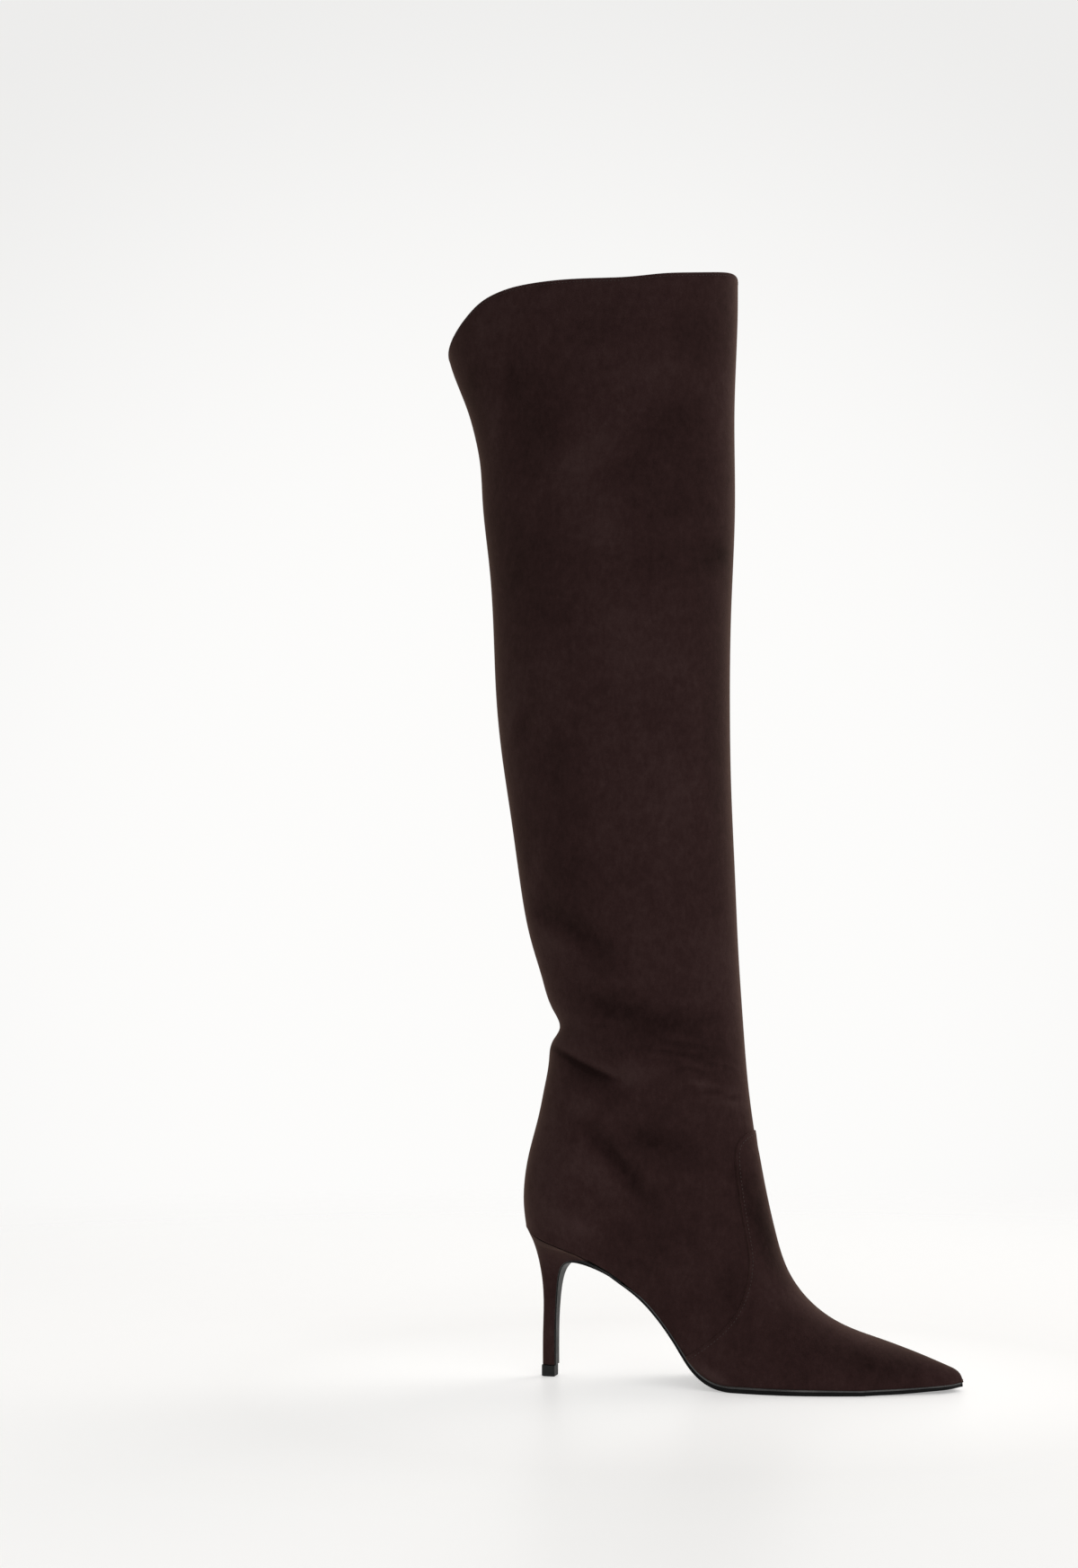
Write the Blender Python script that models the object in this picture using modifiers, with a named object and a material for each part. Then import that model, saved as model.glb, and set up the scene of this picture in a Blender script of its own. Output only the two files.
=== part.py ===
"""An over-the-knee stiletto boot for the right foot, standing empty on its heel tip and sole.

Six pieces: the hollow upper, the vamp lapped over it, the insole, the outsole with its flap down
the heel's breast, the covered heel and the heel tip.

The forms are worked out in millimetres in the side view: x runs from the back edge of the heel tip
towards the toe, z runs up from the floor, and y is positive on the inner (medial) side. The upper
is given by its back line, its front line, its feather edge, and a half width for every point of the
side view. Everything is scaled to metres and moved to the middle of the boot when it is built.
"""

from collections import namedtuple

import bmesh
import bpy
import numpy as np

MM = 0.001

# Driving sizes, in millimetres.
WALL = 1.8
GAP = 0.3
VAMP_THICKNESS = 0.8
INSOLE_THICKNESS = 2.0
INSOLE_CLEARANCE = 0.7
INSOLE_END_X = 228.0
TIP_LENGTH = 8.2
TIP_WIDTH = 9.0
TIP_HEIGHT = 6.0
SOLE_EDGE = 0.4
SOLE_EDGE_VAMP = 1.5
SOLE_BEVEL = 0.9
TOE_X = 235.6
SEAT_END_X = 52.0
SPINE_X = 185.0
SPINE_Z = 165.0
TOE_ROUND = 10.0
FOOT_ROWS = 14
TRIM = 1.6

Point = namedtuple("Point", "x z")
Section = namedtuple("Section", "station lateral medial front back")
Tuck = namedtuple("Tuck", "x share height")
Sole = namedtuple("Sole", "x z thickness half")
HeelRing = namedtuple("HeelRing", "height front half")
Rim = namedtuple("Rim", "share height")
Stride = namedtuple("Stride", "place step")
Fold = namedtuple("Fold", "side x0 z0 x1 z1 depth width")

# The back line, from the collar down to the heel seat.
BACK = [
    Point(-60.0, 625),
    Point(-58.0, 602),
    Point(-52.6, 585),
    Point(-45.6, 567),
    Point(-40.8, 550),
    Point(-37.6, 533),
    Point(-36.0, 510),
    Point(-31.6, 470),
    Point(-28.6, 425),
    Point(-26.8, 388),
    Point(-23.0, 353),
    Point(-18.0, 320),
    Point(-12.4, 281),
    Point(-6.0, 248),
    Point(1.0, 225),
    Point(7.0, 208),
    Point(11.2, 197),
    Point(6.6, 189),
    Point(4.8, 179),
    Point(2.0, 163),
    Point(-1.4, 147),
    Point(-6.8, 127),
    Point(-10.0, 108),
    Point(-10.2, 96),
    Point(-9.0, 85),
]

# The front line, from the collar down the shin and the instep to the toe.
FRONT = [
    Point(119.0, 650),
    Point(118.6, 615),
    Point(116.2, 560),
    Point(115.8, 500),
    Point(113.0, 440),
    Point(111.6, 380),
    Point(111.8, 340),
    Point(113.6, 285),
    Point(115.2, 240),
    Point(117.6, 198),
    Point(120.1, 165),
    Point(123.4, 139),
    Point(128.2, 110),
    Point(134.2, 82),
    Point(140.0, 63.6),
    Point(149.2, 49.2),
    Point(167.2, 34.9),
    Point(190.6, 26.0),
    Point(216.3, 17.2),
    Point(228.4, 12.4),
    Point(234.2, 8.8),
    Point(TOE_X, 5.1),
]

# The feather edge over the heel; further forward it follows the sole.
SEAT = [
    Point(-9.0, 85.0),
    Point(-4.0, 82.2),
    Point(4.0, 78.6),
    Point(14.0, 75.2),
    Point(26.0, 71.0),
    Point(38.0, 65.6),
    Point(46.0, 61.2),
    Point(SEAT_END_X, 57.2),
]

# The outer face of the sole, from the foot of the breast flap to the toe. The half width is given
# under the heel; further forward it follows the upper.
SOLE = [
    Sole(8.9, 6.6, 0.8, 4.3),
    Sole(8.9, 22.0, 0.8, 4.3),
    Sole(9.4, 38.0, 0.8, 4.6),
    Sole(10.2, 48.0, 0.8, 5.3),
    Sole(11.5, 56.0, 0.9, 6.8),
    Sole(13.8, 61.4, 0.9, 9.6),
    Sole(17.6, 64.4, 1.0, 14.0),
    Sole(23.0, 65.4, 1.1, 18.6),
    Sole(31.0, 64.2, 1.1, 22.0),
    Sole(41.0, 60.8, 1.0, 24.2),
    Sole(52.0, 54.8, 1.0, 25.6),
    Sole(61.5, 47.9, 1.8, 0),
    Sole(70.0, 39.6, 1.8, 0),
    Sole(77.5, 30.4, 1.8, 0),
    Sole(84.0, 21.2, 1.9, 0),
    Sole(90.0, 12.6, 2.3, 0),
    Sole(97.0, 5.8, 2.8, 0),
    Sole(105.0, 1.6, 3.2, 0),
    Sole(114.0, 0.0, 3.5, 0),
    Sole(132.0, 0.0, 3.5, 0),
    Sole(150.0, 0.0, 3.4, 0),
    Sole(168.0, 0.0, 3.3, 0),
    Sole(186.0, 0.0, 3.1, 0),
    Sole(204.0, 0.5, 3.0, 0),
    Sole(221.0, 1.4, 2.7, 0),
    Sole(236.2, 2.4, 2.4, 0),
]

# Half widths along the bent spine: station 0 to 90 is the angle round the instep, a negative
# station is the height above it, and one over 90 is the distance past it to the toe. Front and
# back are the depths over which the walls round off towards the front and back lines.
SECTIONS = [
    Section(-476, 50.0, 50.0, 84, 86),
    Section(-420, 48.5, 48.5, 82, 82),
    Section(-330, 48.0, 48.0, 76, 76),
    Section(-235, 50.0, 50.0, 72, 72),
    Section(-160, 47.5, 47.5, 67, 67),
    Section(-90, 43.0, 43.0, 61, 61),
    Section(-35, 39.5, 39.5, 56, 54),
    Section(0, 37.0, 37.0, 56, 52),
    Section(12, 34.0, 34.0, 54, 44),
    Section(22, 31.0, 31.0, 52, 36),
    Section(32, 29.4, 29.4, 50, 34),
    Section(45, 30.0, 29.6, 47, 34),
    Section(55, 31.6, 31.0, 46, 34),
    Section(65, 35.2, 34.4, 46, 34),
    Section(74, 37.8, 37.2, 44, 34),
    Section(82, 35.6, 35.8, 38, 34),
    Section(90, 29.6, 30.2, 24, 34),
    Section(110, 20.8, 21.2, 15, 34),
    Section(125, 13.8, 13.8, 11, 34),
    Section(142, 7.0, 7.0, 8, 34),
]

# How far the wall tucks in towards the feather edge.
TUCKS = [
    Tuck(-10, 0.93, 16),
    Tuck(40, 0.92, 18),
    Tuck(80, 0.92, 14),
    Tuck(110, 0.95, 9),
    Tuck(150, 0.965, 8),
    Tuck(200, 0.965, 6),
    Tuck(240, 0.97, 4),
]

# The collar's edge, by the share of the way from the back line to the front line.
RIM = [
    Rim(0.0, 601.0),
    Rim(0.05, 609.0),
    Rim(0.12, 617.8),
    Rim(0.22, 624.6),
    Rim(0.4, 627.6),
    Rim(0.62, 628.2),
    Rim(0.8, 630.2),
    Rim(0.93, 635.0),
    Rim(1.0, 641.0),
]

# How far apart the upper's columns stand, by the distance along the feather edge.
STRIDES = [
    Stride(0, 1.6),
    Stride(7, 5.5),
    Stride(20, 10.5),
    Stride(48, 14.5),
    Stride(90, 11.5),
    Stride(118, 9.5),
    Stride(150, 13.0),
    Stride(190, 17.0),
    Stride(225, 15.0),
    Stride(262, 7.5),
    Stride(276, 1.6),
]

# The vamp's seam, from beyond the shin down to the sole, the same on both sides.
SEAM = [
    Point(136.0, 143.5),
    Point(123.4, 139.9),
    Point(119.0, 136.4),
    Point(116.2, 132.4),
    Point(115.3, 126.0),
    Point(116.2, 114.0),
    Point(118.2, 100.0),
    Point(120.8, 85.0),
    Point(123.1, 71.0),
    Point(122.6, 58.0),
    Point(119.8, 47.5),
    Point(113.6, 37.0),
    Point(104.6, 28.4),
    Point(95.0, 21.4),
    Point(84.0, 14.5),
    Point(74.0, 9.0),
]

# The heel's rings: how high each starts at the back, how far along the sole's outer line it ends
# at the front, and its greatest half width.
HEEL_RINGS = [
    HeelRing(TIP_HEIGHT + GAP, 0.0, 4.3),
    HeelRing(22.0, 15.4, 4.4),
    HeelRing(36.0, 29.4, 4.8),
    HeelRing(47.0, 41.6, 5.6),
    HeelRing(55.0, 49.8, 7.0),
    HeelRing(61.5, 55.6, 9.2),
    HeelRing(67.0, 60.6, 12.2),
    HeelRing(72.0, 66.0, 16.0),
    HeelRing(76.5, 73.0, 20.2),
    HeelRing(80.0, 81.0, 23.6),
    HeelRing(82.8, 88.5, 25.8),
    HeelRing(84.2, 96.6, 27.0),
]

# The large folds of the shaft.
FOLDS = [
    Fold("lateral", 8, 190, 62, 164, 4.0, 7.0),
    Fold("lateral", 30, 148, 74, 100, 2.2, 9.0),
    Fold("medial", 8, 190, 52, 172, 3.2, 7.0),
    Fold("medial", 40, 246, 112, 186, 4.2, 9.0),
]

HEEL_BACK = [
    Point(0.3, TIP_HEIGHT + GAP),
    Point(0.4, 25.0),
    Point(0.8, 42.0),
    Point(-0.2, 56.0),
    Point(-2.0, 66.0),
    Point(-4.8, 76.0),
    Point(-8.4, 84.7),
]


def spline(knots, values, at):
    """The natural cubic spline through the knots, read at the given places."""
    knots = np.asarray(knots, float)
    values = np.asarray(values, float)
    at = np.clip(at, knots[0], knots[-1])
    step = np.diff(knots)
    slope = np.diff(values) / step
    matrix = np.eye(len(knots))
    right = np.zeros(len(knots))
    for i in range(1, len(knots) - 1):
        matrix[i, i - 1 : i + 2] = step[i - 1], 2 * (step[i - 1] + step[i]), step[i]
        right[i] = 6 * (slope[i] - slope[i - 1])
    bend = np.linalg.solve(matrix, right)
    i = np.clip(np.searchsorted(knots, at) - 1, 0, len(step) - 1)
    after = (at - knots[i]) / step[i]
    before = 1 - after
    curved = (before**3 - before) * bend[i] + (after**3 - after) * bend[i + 1]
    return before * values[i] + after * values[i + 1] + curved * step[i] ** 2 / 6


def column(table, name):
    """One named column of a table."""
    return np.array([getattr(row, name) for row in table], float)


def read(table, key, name, at):
    """A named column of a table, smoothed over its key column and read at the given places."""
    return spline(column(table, key), column(table, name), at)


def drawn(table, count=600):
    """Many points, evenly spaced along the smooth curve through a table's x and z."""
    x = column(table, "x")
    z = column(table, "z")
    chord = np.concatenate([[0], np.cumsum(np.hypot(np.diff(x), np.diff(z)))])
    at = np.linspace(0, chord[-1], count)
    points = np.column_stack([spline(chord, x, at), spline(chord, z, at)])
    return at, points


def along(line, share):
    """Points of a drawn line at shares of its length, from 0 to 1."""
    at, points = line
    place = np.asarray(share) * at[-1]
    return np.column_stack([np.interp(place, at, points[:, k]) for k in (0, 1)])


def nearest(line, x, z):
    """The distance from each point to a drawn line."""
    points = line[1]
    flat = np.column_stack([np.ravel(x), np.ravel(z)])
    apart = flat[:, None, :] - points[None, :, :]
    return np.sqrt((apart**2).sum(axis=2)).min(axis=1).reshape(np.shape(x))


def offset_line(line, by):
    """A drawn line moved to its left by a distance that may change along it."""
    at, points = line
    way = np.gradient(points, axis=0)
    way /= np.linalg.norm(way, axis=1)[:, None]
    left = np.column_stack([-way[:, 1], way[:, 0]])
    return at, points + left * np.reshape(by, (-1, 1))


BACK_LINE = drawn(BACK)
FRONT_LINE = drawn(FRONT)
SOLE_LINE = drawn(SOLE)
SOLE_LINE[1][:, 1] = np.maximum(SOLE_LINE[1][:, 1], 0)
SOLE_AT = np.concatenate(
    [[0], np.cumsum(np.hypot(np.diff(column(SOLE, "x")), np.diff(column(SOLE, "z"))))]
)
SOLE_THICK = spline(SOLE_AT, column(SOLE, "thickness"), SOLE_LINE[0])
UNDER_LINE = offset_line(SOLE_LINE, SOLE_THICK + GAP)


def feather_points():
    """The feather edge from the heel to the toe: the seat's rows, then the top of the sole."""
    ahead = (UNDER_LINE[1][:, 0] > SEAT_END_X + 8) & (UNDER_LINE[1][:, 0] < TOE_X - 2)
    rows = [Point(x, z) for x, z in UNDER_LINE[1][ahead][::12]]
    return [*SEAT, *rows, FRONT[-1]]


FEATHER_LINE = drawn(feather_points())


def column_shares():
    """Where the upper's columns stand, as shares of the way along the feather edge."""
    at = np.linspace(0, FEATHER_LINE[0][-1], 800)
    step = np.interp(at, column(STRIDES, "place"), column(STRIDES, "step"))
    count = np.concatenate([[0], np.cumsum(np.diff(at) / ((step[1:] + step[:-1]) / 2))])
    columns = round(count[-1])
    return np.interp(np.linspace(0, count[-1], columns + 1), count, at / at[-1])


COLUMNS = column_shares()
STATIONS = along(FEATHER_LINE, COLUMNS)[:, 0]


def feather_z(x):
    """The height of the feather edge at x."""
    points = FEATHER_LINE[1]
    return np.interp(x, points[:, 0], points[:, 1])


def back_x(z):
    """Where the back line lies at height z."""
    points = BACK_LINE[1][::-1]
    return np.interp(z, points[:, 1], points[:, 0])


def station(x, z):
    """How far along the boot's bent spine a point of the side view lies."""
    angle = np.degrees(np.arctan2(SPINE_Z - z, np.maximum(SPINE_X - x, 1e-6)))
    angle = np.clip(angle, 0, 90)
    return np.where(z >= SPINE_Z, SPINE_Z - z, angle) + np.maximum(x - SPINE_X, 0)


def rounded(depth, over):
    """0 at a closed edge, rising along a quarter ellipse to 1 at the given depth."""
    share = np.clip(depth / over, 0, 1)
    return np.sqrt(np.maximum(1 - (1 - share) ** 2, 0))


def fold_depth(x, z, side):
    """How far the folds of one side press the wall in."""
    total = np.zeros(np.shape(x))
    for fold in FOLDS:
        if fold.side != side:
            continue
        way = np.array([fold.x1 - fold.x0, fold.z1 - fold.z0], float)
        length = np.hypot(*way)
        way /= length
        ahead = ((x - fold.x0) * way[0] + (z - fold.z0) * way[1]) / length
        across = (x - fold.x0) * way[1] - (z - fold.z0) * way[0]
        fade = np.clip(1 - np.abs(2 * ahead - 1) ** 3, 0, 1)
        total += fold.depth * fade * np.exp(-((across / fold.width) ** 2))
    return total


def half_width(x, z, side):
    """Half the upper's width on one side, at points of the side view."""
    at = station(x, z)
    wide = read(SECTIONS, "station", side, at)
    back = rounded(x - back_x(z), read(SECTIONS, "station", "back", at))
    front = rounded(nearest(FRONT_LINE, x, z), read(SECTIONS, "station", "front", at))
    toe = rounded(TOE_X - x, TOE_ROUND)
    share = read(TUCKS, "x", "share", x)
    high = np.clip((z - feather_z(x)) / read(TUCKS, "x", "height", x), 0, 1)
    tuck = np.sqrt(1 - (1 - share**2) * (1 - high) ** 2)
    return wide * back * front * toe * tuck - fold_depth(x, z, side) * back * front


def middle(x):
    """How far the middle line of the foot swings to the inner side."""
    return 4.0 * np.clip((x - 120) / (TOE_X - 120), 0, 1) ** 2


def ring(path, lateral, medial):
    """A closed ring of points: out along the lateral side and home along the medial one."""
    x = path[:, 0]
    z = path[:, 1]
    outward = np.column_stack([x, middle(x) - lateral, z])
    homeward = np.column_stack([x, middle(x) + medial, z])
    return np.concatenate([outward, homeward[-2:0:-1]])


def upper_ring(path):
    """The upper's ring over a path of the side view."""
    x = path[:, 0]
    z = path[:, 1]
    lateral = half_width(x, z, "lateral")
    medial = half_width(x, z, "medial")
    for side in (lateral, medial):
        side[[0, -1]] = 0
    return ring(path, lateral, medial)


def shaft_paths():
    """Side-view paths of the shaft's rings, from the collar down to the ankle."""
    levels = [*np.linspace(600, 225, 16)[2:], 212, 203, 197, 192.5, 188, 182, 174]
    rim = read(RIM, "share", "height", COLUMNS)
    paths = []
    for lift in (1.0, 0.55, 0.0):
        paths.append(level_path(582 + 19 * lift + (rim - 601) * lift))
    for level in levels:
        paths.append(level_path(np.full(len(COLUMNS), level)))
    return paths


def level_path(height):
    """A path across the shaft from the back line to the front line, at the given heights."""
    points = FRONT_LINE[1][::-1]
    front = np.interp(height, points[:, 1], points[:, 0])
    start = back_x(height)
    return np.column_stack([start + (front - start) * COLUMNS, height])


def foot_paths():
    """Side-view paths of the foot's rings, from the ankle down to the feather edge."""
    share = COLUMNS
    first = level_path(np.full(len(share), SPINE_Z))
    last = along(FEATHER_LINE, share)
    back = lower_part(BACK_LINE, SPINE_Z)
    front = lower_part(FRONT_LINE, SPINE_Z)
    rows = np.linspace(0, 1, FOOT_ROWS + 1)
    rows = rows + 0.4 * rows * (1 - rows)
    paths = []
    for row in rows:
        start = along(back, row)[0]
        end = along(front, row)[0]
        sides = (1 - share)[:, None] * start + share[:, None] * end
        ends = (1 - row) * first + row * last
        corners_first = (1 - share)[:, None] * first[0] + share[:, None] * first[-1]
        corners_last = (1 - share)[:, None] * last[0] + share[:, None] * last[-1]
        paths.append(sides + ends - (1 - row) * corners_first - row * corners_last)
    paths.append(last - [0, TRIM])
    return paths


def lower_part(line, height):
    """The part of a drawn line below a height, with its lengths counted from there."""
    points = line[1]
    below = points[:, 1] <= height
    start = np.array([np.interp(-height, -points[:, 1], points[:, 0]), height])
    kept = np.vstack([start, points[below]])
    steps = np.hypot(*np.diff(kept, axis=0).T)
    return np.concatenate([[0], np.cumsum(steps)]), kept


def face_out(bm):
    """Turns all faces of a mesh outwards."""
    bmesh.ops.recalc_face_normals(bm, faces=bm.faces)
    if bm.calc_volume(signed=True) < 0:
        bmesh.ops.reverse_faces(bm, faces=bm.faces)


def new_object(name, group, bm, smooth=True):
    """An object from a bmesh, in one collection, with its faces turned outwards."""
    face_out(bm)
    mesh = bpy.data.meshes.new(name)
    bm.to_mesh(mesh)
    bm.free()
    if smooth:
        mesh.shade_smooth()
    made = bpy.data.objects.new(name, mesh)
    group.objects.link(made)
    return made


def placed(points):
    """Points of the boot's own frame in metres, about the middle of its floor."""
    return (np.asarray(points) - [CENTRE_X, CENTRE_Y, 0]) * MM


def loft(rings, caps=(False, False), centred=True):
    """A bmesh of quads between rings of the same count, with its end rings closed where asked."""
    bm = bmesh.new()
    rows = [[bm.verts.new(point) for point in placed(points)] for points in rings]
    count = len(rows[0])
    for low, high in zip(rows, rows[1:]):
        for i in range(count):
            j = (i + 1) % count
            bm.faces.new((low[i], low[j], high[j], high[i]))
    for row, closed in zip((rows[0], rows[-1]), caps):
        if closed:
            close_ring(bm, row, centred)
    return bm


def close_ring(bm, row, centred):
    """Closes a ring with a strip of faces between its lateral and its medial points."""
    count = len(row)
    shift = 0 if centred else 1
    for i in range(count // 2):
        corners = [row[i], row[i + 1], row[(-i - 1 - shift) % count], row[(-i - shift) % count]]
        corners = list(dict.fromkeys(corners))
        if len(corners) > 2:
            bm.faces.new(corners)


def finish(made, colour, roughness):
    """Gives an object a plain material of its own."""
    material = bpy.data.materials.new(made.name)
    material.use_nodes = True
    shader = material.node_tree.nodes["Principled BSDF"]
    shader.inputs["Base Color"].default_value = (*colour, 1)
    shader.inputs["Roughness"].default_value = roughness
    shader.inputs["Metallic"].default_value = 0.0
    made.data.materials.append(material)


def solidify(made, thickness, offset):
    """A Solidify modifier on an open surface."""
    wall = made.modifiers.new("Wall", "SOLIDIFY")
    wall.thickness = thickness * MM
    wall.offset = offset
    wall.use_even_offset = False
    return wall


def cutter(name, group, outline):
    """A cutter as wide as the boot, from its closed outline in the side view."""
    bm = bmesh.new()
    face = bm.faces.new([bm.verts.new(point) for point in placed([(x, -90, z) for x, z in outline])])
    raised = bmesh.ops.extrude_face_region(bm, geom=[face])["geom"]
    moved = [item for item in raised if isinstance(item, bmesh.types.BMVert)]
    bmesh.ops.translate(bm, verts=moved, vec=(0, 180 * MM, 0))
    made = new_object(name, group, bm, smooth=False)
    made.hide_render = True
    made.display_type = "WIRE"
    return made


def cut(made, tool, operation):
    """A Boolean of one object by a cutter."""
    step = made.modifiers.new(tool.name, "BOOLEAN")
    step.operation = operation
    step.object = tool


def bed_outline():
    """Everything below the feather edge, in the side view."""
    edge = along(FEATHER_LINE, COLUMNS)
    ends = [(270, edge[-1][1]), (270, -30), (-50, -30), (-50, edge[0][1])]
    return [*edge, *ends]


def seam_outline():
    """Everything in front of the vamp's seam, in the side view."""
    edge = along(drawn(SEAM), np.linspace(0, 1, 40))
    return [*edge, (270, -20), (270, SEAM[0].z)]


def skin(paths):
    """The upper's outer surface through side-view paths, as triangles that face out."""
    bm = loft([upper_ring(path) for path in paths])
    bmesh.ops.triangulate(bm, faces=bm.faces)
    face_out(bm)
    return bm


def upper(group, bed):
    """The hollow upper, open at the collar and underneath."""
    made = new_object("upper", group, skin(shaft_paths() + foot_paths()))
    solidify(made, WALL, -1)
    cut(made, bed, "DIFFERENCE")
    finish(made, (0.022, 0.011, 0.010), 0.95)
    return made


def vamp(group, bed, seam):
    """The vamp's overlay, cut from a second skin over the upper by the outline of its seam."""
    bm = skin(foot_paths())
    bm.normal_update()
    for vert in bm.verts:
        vert.co += vert.normal * GAP * MM
    made = new_object("vamp", group, bm)
    solidify(made, VAMP_THICKNESS, 1)
    cut(made, seam, "INTERSECT")
    cut(made, bed, "DIFFERENCE")
    finish(made, (0.024, 0.012, 0.011), 0.95)
    return made


def plate_ring(path, half, inset=0.0):
    """A ring of paired points along a path, with no point on the middle line."""
    x = path[:, 0]
    z = path[:, 1]
    lateral = np.column_stack([x, middle(x) - half[0] + inset, z])
    medial = np.column_stack([x, middle(x) + half[1] - inset, z])
    return np.concatenate([lateral, medial[::-1]])


def feather_half(x, side):
    """The half width of the feather edge at x."""
    return half_width(x, feather_z(x), side)


def inset_outline(side, by):
    """The feather edge of one side moved inwards by a distance: its x and its half width."""
    half = feather_half(STATIONS, side)
    above = half_width(STATIONS, feather_z(STATIONS) + INSOLE_THICKNESS + WALL, side)
    half = np.minimum(half, above)
    half[[0, -1]] = 0
    place = np.linspace(0, len(STATIONS) - 1, 400)
    x = np.interp(place, np.arange(len(STATIONS)), STATIONS)
    half = np.interp(place, np.arange(len(STATIONS)), half)
    way = np.column_stack([np.gradient(x), np.gradient(half)])
    way /= np.linalg.norm(way, axis=1)[:, None]
    moved = np.column_stack([x + way[:, 1] * by, half - way[:, 0] * by])
    kept = moved[(moved[:, 1] > 0.4) & (moved[:, 0] < INSOLE_END_X)]
    inside = (STATIONS > kept[0, 0] + 0.3) & (STATIONS < kept[-1, 0] - 0.3)
    x = np.concatenate([[kept[0, 0]], STATIONS[inside], [kept[-1, 0]]])
    return x, np.interp(x, kept[:, 0], kept[:, 1])


def insole(group):
    """The insole board, lying in the upper on the sole and on the heel's seat."""
    x, lateral = inset_outline("lateral", WALL + INSOLE_CLEARANCE)
    other, medial = inset_outline("medial", WALL + INSOLE_CLEARANCE)
    medial = np.interp(x, other, medial)
    low = np.column_stack([x, feather_z(x)])
    rings = []
    for lift, inset in ((0, 0.4), (0.4, 0), (INSOLE_THICKNESS, 0)):
        rings.append(plate_ring(low + [0, lift], (lateral, medial), min(inset, 0.35)))
    made = new_object("insole", group, loft(rings, (True, True), centred=False))
    finish(made, (0.030, 0.017, 0.014), 0.7)
    return made


def at_place(line, place):
    """Points of a line drawn beside the sole's outer line, at places along the sole."""
    return np.column_stack([np.interp(place, SOLE_LINE[0], line[1][:, k]) for k in (0, 1)])


def sole_places():
    """Places of the outsole's rings: the heel's own ones, then the upper's columns."""
    ahead = SOLE_LINE[0] > HEEL_RINGS[-1].front
    columns = STATIONS[STATIONS > SEAT_END_X + 3]
    places = np.interp(columns, UNDER_LINE[1][ahead, 0], SOLE_LINE[0][ahead])
    return np.concatenate([column(HEEL_RINGS, "front"), places])


def sole_halves(place):
    """Half widths of the outsole at places along it, on both sides."""
    given = SOLE_AT <= HEEL_RINGS[-1].front + 1
    narrow = spline(SOLE_AT[given], column(SOLE, "half")[given], place)
    x = np.minimum(at_place(UNDER_LINE, place)[:, 0], TOE_X)
    under = place <= HEEL_RINGS[-1].front
    edge = np.interp(x, (84, 98), (SOLE_EDGE, SOLE_EDGE_VAMP))
    halves = []
    for side in ("lateral", "medial"):
        halves.append(np.where(under, narrow, feather_half(x, side) + edge))
    return halves


def outsole(group):
    """The outsole: tread, waist, and the flap that runs down the breast of the heel."""
    place = sole_places()
    half = sole_halves(place)
    outer = at_place(SOLE_LINE, place)
    thick = np.interp(place, SOLE_LINE[0], SOLE_THICK)
    way = at_place(UNDER_LINE, place) - outer
    way /= (thick + GAP)[:, None]
    bevel = np.minimum(0.3 * thick, SOLE_BEVEL)[:, None]
    rings = [
        plate_ring(outer, half, bevel[:, 0]),
        plate_ring(outer + way * bevel, half),
        plate_ring(outer + way * thick[:, None], half),
    ]
    made = new_object("outsole", group, loft(rings, (True, True), centred=False))
    finish(made, (0.008, 0.008, 0.008), 0.25)
    return made


def heel_path(level, seat):
    """The side-view path of one ring of the heel, from its back line to its breast."""
    row = level.front / HEEL_RINGS[-1].front
    share = (seat[:, 0] - seat[0, 0]) / (seat[-1, 0] - seat[0, 0])
    share = share[:, None]
    line = HEEL_LINE[1]
    start = np.array([np.interp(level.height, line[:, 1], line[:, 0]), level.height])
    end = at_place(UNDER_LINE, [level.front])[0]
    bent = seat - (seat[0] + (seat[-1] - seat[0]) * share)
    return start + (end - start) * share + row * bent


def heel_halves(level, share, seat):
    """Half widths of one ring of the heel, on both sides."""
    row = level.front / HEEL_RINGS[-1].front
    spread = np.clip((row - 0.75) / 0.25, 0, 1) ** 2
    halves = []
    for breast, side in zip(sole_halves(np.array([level.front])), ("lateral", "medial")):
        stem = (level.half + (breast - level.half) * share**2) * rounded(share + 0.01, 1 - 0.5 * row)
        flat = feather_half(seat[:, 0], side) - GAP
        flat[0] = 2.0
        halves.append(stem * (1 - spread) + flat * spread)
    return halves


def heel(group):
    """The covered heel: a slim stem that spreads into the long thin seat under the shank."""
    seat_x = np.concatenate([STATIONS[STATIONS < SEAT_END_X - 3], [SEAT_END_X]])
    seat_x[0] = HEEL_BACK[-1].x
    seat = np.column_stack([seat_x, feather_z(seat_x) - GAP])
    share = (seat_x - seat_x[0]) / (seat_x[-1] - seat_x[0])
    rings = []
    for level in HEEL_RINGS:
        rings.append(plate_ring(heel_path(level, seat), heel_halves(level, share, seat)))
    rings.append(plate_ring(seat, heel_halves(HEEL_RINGS[-1], share, seat)))
    made = new_object("heel", group, loft(rings, (True, True), centred=False))
    finish(made, (0.022, 0.011, 0.010), 0.95)
    return made


def heel_tip(group):
    """The hard top piece under the heel, round at the back and square at the breast."""
    bm = bmesh.new()
    bmesh.ops.create_cube(bm, size=1)
    bmesh.ops.scale(bm, verts=bm.verts, vec=(TIP_LENGTH * MM, TIP_WIDTH * MM, TIP_HEIGHT * MM))
    place = placed([(TIP_LENGTH / 2, 0, TIP_HEIGHT / 2)])[0]
    bmesh.ops.translate(bm, verts=bm.verts, vec=place)
    rear = [
        edge
        for edge in bm.edges
        if all(vert.co.x < place[0] for vert in edge.verts)
        and abs(edge.verts[0].co.y - edge.verts[1].co.y) < 0.1 * MM
    ]
    bmesh.ops.bevel(bm, geom=rear, offset=3.2 * MM, segments=5, profile=0.5, affect="EDGES")
    made = new_object("heel_tip", group, bm, smooth=False)
    finish(made, (0.010, 0.010, 0.010), 0.45)
    return made


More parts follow.
